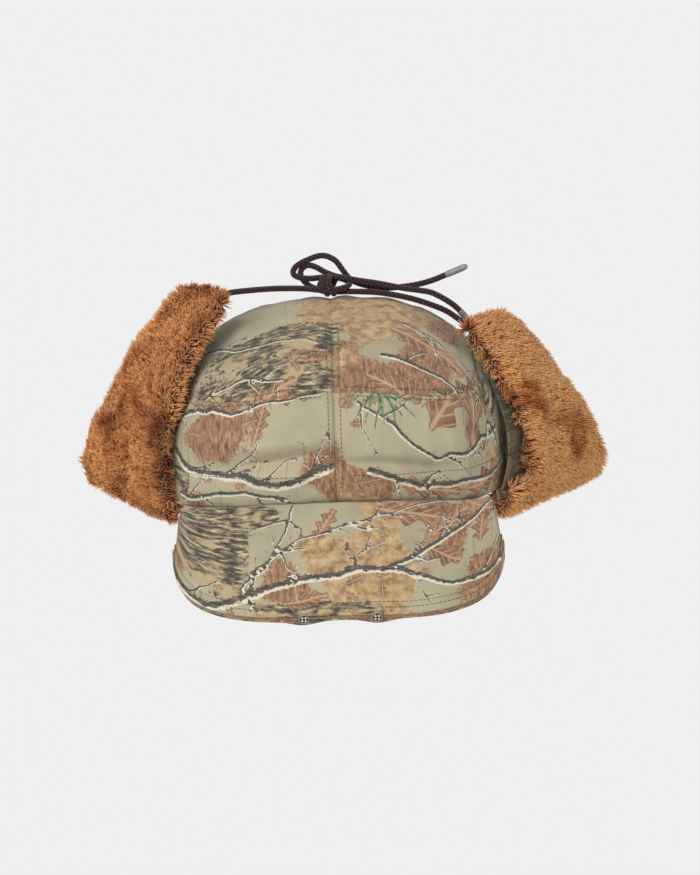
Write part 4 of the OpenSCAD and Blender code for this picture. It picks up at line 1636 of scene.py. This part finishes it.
def make_cord(name, points, ends, replaced, body):
    route = smooth_route([mm(*p) for p in points], 1.2 * MM)
    thing = new_object(name, tube_mesh(name, route, CORD_R, 16))
    thing.data.materials.append(MATERIALS["cord"])
    aglet = make_aglet(ends[0], ends[1])
    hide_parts(*replaced)
    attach(thing, body)
    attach(aglet, body)
    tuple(route[0])
    route_length(route)
    return thing


def make_knot():
    cx, cy, cz = KNOT_CENTRE
    turns, steps = 2.25, 90
    route = []
    for i in range(steps + 1):
        k = i / steps
        a = 2 * pi * turns * k - 0.6
        x = -5.4 + 8.4 * k + 0.9 * sin(a * 2)
        route.append(mm(cx + x, cy + 4.7 * cos(a), cz + 5.0 * sin(a)))
    knot = new_object("tie_knot", tube_mesh("tie_knot", route, CORD_R, 16))
    knot.data.materials.append(MATERIALS["cord"])
    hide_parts("tie_knot")
    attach(knot, "tie_half_left")
    return knot


# ---- Stitches ----


def stitch_mesh():
    """One stitch of thread, laid along X."""
    points, faces = [], []
    rings = [(-0.95, 0.08), (-0.75, 0.15), (0.0, 0.19), (0.75, 0.15), (0.95, 0.08)]
    sides = 6
    for x, r in rings:
        for k in range(sides):
            a = 2 * pi * k / sides
            points.append(mm(x, r * cos(a), r * sin(a)))
    for i in range(len(rings) - 1):
        for k in range(sides):
            a, b = i * sides + k, i * sides + (k + 1) % sides
            faces.append((a, b, b + sides, a + sides))
    faces.append(tuple(range(sides - 1, -1, -1)))
    faces.append(tuple((len(rings) - 1) * sides + k for k in range(sides)))
    mesh = bpy.data.meshes.new("stitch")
    mesh.from_pydata(points, [], faces)
    smooth(mesh)
    return mesh


def stitch_nodes():
    """Lays stitches at even steps along the edges of a mesh."""
    tree = bpy.data.node_groups.new("lay stitches", "GeometryNodeTree")
    face = tree.interface
    face.new_socket("Seams", in_out="INPUT", socket_type="NodeSocketGeometry")
    for name, kind in (("Stitch", "NodeSocketObject"), ("Finish", "NodeSocketMaterial"), ("Spacing", FLOAT)):
        face.new_socket(name, in_out="INPUT", socket_type=kind)
    face.new_socket("Thread", in_out="OUTPUT", socket_type="NodeSocketGeometry")
    g = Graph(tree)
    start, end = tree.nodes.new("NodeGroupInput"), tree.nodes.new("NodeGroupOutput")
    given = start.outputs
    curve = tree.nodes.new("GeometryNodeMeshToCurve")
    g.feed(curve.inputs["Mesh"], given["Seams"])
    even = tree.nodes.new("GeometryNodeResampleCurve")
    even.mode = "LENGTH"
    g.feed(even.inputs["Curve"], curve.outputs[0])
    g.feed(even.inputs["Length"], given["Spacing"])
    tangent = tree.nodes.new("GeometryNodeInputTangent").outputs[0]
    turn = tree.nodes.new("FunctionNodeAlignRotationToVector")
    turn.axis = "X"
    g.feed(turn.inputs["Vector"], tangent)
    lay = tree.nodes.new("GeometryNodeInstanceOnPoints")
    stitch = tree.nodes.new("GeometryNodeObjectInfo")
    g.feed(stitch.inputs["Object"], given["Stitch"])
    g.feed(lay.inputs["Points"], even.outputs[0])
    g.feed(lay.inputs["Instance"], stitch.outputs["Geometry"])
    g.feed(lay.inputs["Rotation"], turn.outputs[0])
    real = tree.nodes.new("GeometryNodeRealizeInstances")
    g.feed(real.inputs[0], lay.outputs[0])
    finish = tree.nodes.new("GeometryNodeSetMaterial")
    g.feed(finish.inputs["Geometry"], real.outputs[0])
    g.feed(finish.inputs["Material"], given["Finish"])
    g.feed(end.inputs[0], finish.outputs[0])
    return tree


def seam_piece(name, lines, body):
    points, edges = [], []
    for line in lines:
        base = len(points)
        points += line
        edges += [(base + i, base + i + 1) for i in range(len(line) - 1)]
    mesh = bpy.data.meshes.new(name)
    mesh.from_pydata(points, edges, [])
    thing = new_object(name, mesh)
    apply_nodes(
        thing, TOOLS["stitches"], Stitch=TOOLS["stitch"], Finish=MATERIALS["thread"], Spacing=sizes().stitch,
    )
    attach(thing, body)
    return thing


def crown_surface(phi, t, raise_by=0.15 * MM):
    """A point on the cloth as it lies, raised clear of it."""
    return crown_point(phi, t, -(crown_lift(phi, t) + raise_by))


def crown_line(side, offset, t_from, t_to, steps=60):
    """A line beside the centre seam, at a distance from it."""
    line = []
    for i in range(steps + 1):
        t = mix(t_from, t_to, i / steps)
        rho = max(0.05, cos(pi / 2 * t) ** (2 / PROFILE_EXP))
        angle = asin(min(1, offset / (CROWN_HALF_W * rho)) ** (PLAN_EXP / 2))
        phi = side * angle * 180 / pi
        line.append(crown_surface(phi, t))
    return line


def make_stitches():
    lines = []
    for side in (-1, 1):
        for offset in (3.4 * MM,):
            lines.append(crown_line(side, offset, 0.05, seam_t(0) - 0.012))
            lines.append(crown_line(side, offset, seam_t(0) + 0.012, 0.93))
    for shift in (0.026, -0.026):
        for side in (-1, 1):
            for low, high in ((3.5, 74), (76.5, 176)):
                lines.append([
                    crown_surface(side * mix(low, high, i / 120), seam_t(mix(low, high, i / 120)) + shift)
                    for i in range(121)
                ])
    for side in (-1, 1):
        for edge in (73.6, 76.4):
            lines.append([crown_surface(side * edge, mix(0.03, seam_t(75) - 0.03, i / 30)) for i in range(31)])
        lines.append([crown_surface(side * mix(3, 73, i / 120), 0.125) for i in range(121)])
    seam_piece("crown_stitches", lines, "root")

    rows = []
    for inset in (6.0, 2.2):
        line = []
        for i in range(201):
            u = mix(-0.97, 0.97, i / 200)
            reach = (brim_middle(u, 1) - brim_middle(u, 0)).length
            v = 1 - inset * MM / max(reach, 10 * MM)
            base = brim_middle(u, v)
            layer = 2.3 * MM + ripple(base, 48.0, 0.9 * MM) + ripple(base, 130.0, 0.3 * MM)
            layer += 1.2 * MM * light_nearness(base) * v
            layer -= 0.7 * MM * bell((inset - 6) * MM, 1.6 * MM) - 0.5 * MM * bell((inset - 2) * MM, 2.4 * MM)
            line.append(brim_point(u, v, layer + 0.12 * MM))
        rows.append(line)
    seam_piece("brim_stitches", rows, "root")


# ---- Stage ----


FLOOR_Z = -1.5


def make_stage():
    scene = bpy.context.scene
    colours = scene.hat_colours
    floor_mesh = bpy.data.meshes.new("floor")
    half = 30.0
    floor_mesh.from_pydata(
        [(-half, -half, FLOOR_Z), (half, -half, FLOOR_Z), (half, half, FLOOR_Z), (-half, half, FLOOR_Z)], [],
        [(0, 1, 2, 3)],
    )
    floor = new_object("floor", floor_mesh)
    material, _, shader = new_material("pale floor", roughness=0.9, specular=0.0)
    shader.inputs["Base Color"].default_value = (*colours.floor, 1.0)
    floor_mesh.materials.append(material)

    for name, place, power, spread in (
        ("key light", (-0.62, -0.75, 1.2), 2.15, 38),
        ("fill light", (0.9, -0.7, 0.6), 0.35, 70),
    ):
        data = bpy.data.lights.new(name, "SUN")
        data.energy = power
        data.angle = radians(spread)
        lamp = bpy.data.objects.new(name, data)
        scene.collection.objects.link(lamp)
        lamp.location = place
        lamp.rotation_euler = (-lamp.location).to_track_quat("-Z", "Y").to_euler()
    world = bpy.data.worlds.new("pale studio")
    world.use_nodes = True
    world.node_tree.nodes["Background"].inputs["Color"].default_value = (1, 1, 1, 1)
    world.node_tree.nodes["Background"].inputs["Strength"].default_value = 0.47
    scene.world = world
    scene.view_settings.view_transform = "Standard"

    aim = mm(8.5, -20, 14.1)
    rise = radians(28)
    camera_data = bpy.data.cameras.new("camera")
    camera_data.lens = 867.6
    camera = bpy.data.objects.new("camera", camera_data)
    scene.collection.objects.link(camera)
    camera.location = aim + Vector((0, -cos(rise), sin(rise))) * 12.0
    look = (aim - camera.location).to_track_quat("-Z", "Y")
    camera.rotation_mode = "QUATERNION"
    camera.rotation_quaternion = look @ Quaternion((0, 0, 1), radians(-1.8))
    scene.camera = camera


def make_tools():
    """The node trees and the shapes they repeat, kept out of the picture."""
    TOOLS["fur"] = fur_nodes()
    TOOLS["stitches"] = stitch_nodes()
    TOOLS["tuft"] = bpy.data.objects.new("tuft", strand_mesh())
    TOOLS["stitch"] = bpy.data.objects.new("stitch", stitch_mesh())


# ---- Add-on ----


def sizes():
    return bpy.context.scene.hat_sizes


class HatSizes(bpy.types.PropertyGroup):
    cloth: FloatProperty(
        name="Cloth", description="Thickness of the outer cloth", default=1.5 * MM, unit="LENGTH", min=0.0005,
    )
    fur: FloatProperty(
        name="Fur length", description="Length of the fur's longest tufts", default=7.0 * MM, unit="LENGTH", min=0.002,
    )
    density: FloatProperty(
        name="Fur density", description="Tufts on each square metre of fur", default=2400000.0, min=1000.0,
    )
    stitch: FloatProperty(
        name="Stitch step", description="Distance from one stitch to the next", default=2.6 * MM, unit="LENGTH",
        min=0.001,
    )


class HatColours(bpy.types.PropertyGroup):
    floor: FloatVectorProperty(
        name="Floor", description="Colour of the floor", subtype="COLOR", size=3, default=(0.82, 0.82, 0.82), min=0,
        max=1,
    )


def hat_operator(idname, label, note, *steps):
    """An operator that makes one piece or one group of like pieces."""

    def execute(self, context):
        for step in steps:
            step()
        return {"FINISHED"}

    body = {"bl_idname": idname, "bl_label": label, "__doc__": note, "execute": execute}
    return type("HAT_OT_" + idname.split(".")[1], (bpy.types.Operator,), body)


def make_cords():
    knot = make_knot()
    make_cord("tie_cord_left", LEFT_ROUTE, ("aglet_left", LEFT_AGLET), ("tie_cord_left", "tie_bow_left"),
              "tie_half_left")
    make_cord("tie_cord_right", RIGHT_ROUTE, ("aglet_right", RIGHT_AGLET), ("tie_cord_right", "tie_bow_right"),
              "tie_half_right")


OPERATORS = (
    hat_operator("hat.stage", "Stage", "Makes the camera, floor and lights", make_stage),
    hat_operator("hat.materials", "Materials", "Makes the materials and the node trees", make_materials, make_tools),
    hat_operator("hat.cords", "Tie cords", "Makes both halves of the tie cord and the knot", make_cords),
    hat_operator("hat.crown", "Crown", "Makes the six panels of the crown", make_crown),
    hat_operator("hat.lining", "Lining", "Makes the lining and the sweatband", make_lining),
    hat_operator("hat.brim", "Brim", "Makes the brim's covers and piping", make_brim),
    hat_operator("hat.lights", "Lights", "Makes the two lights", make_lights),
    hat_operator("hat.electronics", "Electronics", "Finishes the battery case and wires", make_electronics),
    hat_operator("hat.ear_flaps", "Ear flaps", "Makes both ear flaps",
                 lambda: make_ear_flap("left", 11), lambda: make_ear_flap("right", 21)),
    hat_operator("hat.neck_flap", "Neck flap", "Makes the neck flap", make_neck_flap),
    hat_operator("hat.band", "Band", "Makes the fixed band below the crown", make_band),
    hat_operator("hat.folds", "Folds", "Makes the fur that bends over each fold line", make_folds),
    hat_operator("hat.stitches", "Stitches", "Lays the rows of stitches", make_stitches),
)


class HAT_PT_pieces(bpy.types.Panel):
    """Lists the hat's sizes and its pieces"""

    bl_label = "Trapper hat"
    bl_space_type = "VIEW_3D"
    bl_region_type = "UI"
    bl_category = "Hat"

    def draw(self, context):
        layout = self.layout
        for group in (context.scene.hat_sizes, context.scene.hat_colours):
            for name in group.__annotations__:
                layout.prop(group, name)
        for operator in OPERATORS:
            layout.operator(operator.bl_idname)


CLASSES = (HatSizes, HatColours, *OPERATORS, HAT_PT_pieces)


def register():
    for item in CLASSES:
        bpy.utils.register_class(item)
    bpy.types.Scene.hat_sizes = PointerProperty(type=HatSizes)
    bpy.types.Scene.hat_colours = PointerProperty(type=HatColours)


def unregister():
    del bpy.types.Scene.hat_colours
    del bpy.types.Scene.hat_sizes
    for item in reversed(CLASSES):
        bpy.utils.unregister_class(item)


def main():
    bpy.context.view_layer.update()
    register()
    for operator in OPERATORS:
        group, name = operator.bl_idname.split(".")
        getattr(getattr(bpy.ops, group), name)()


if __name__ == "__main__":
    main()
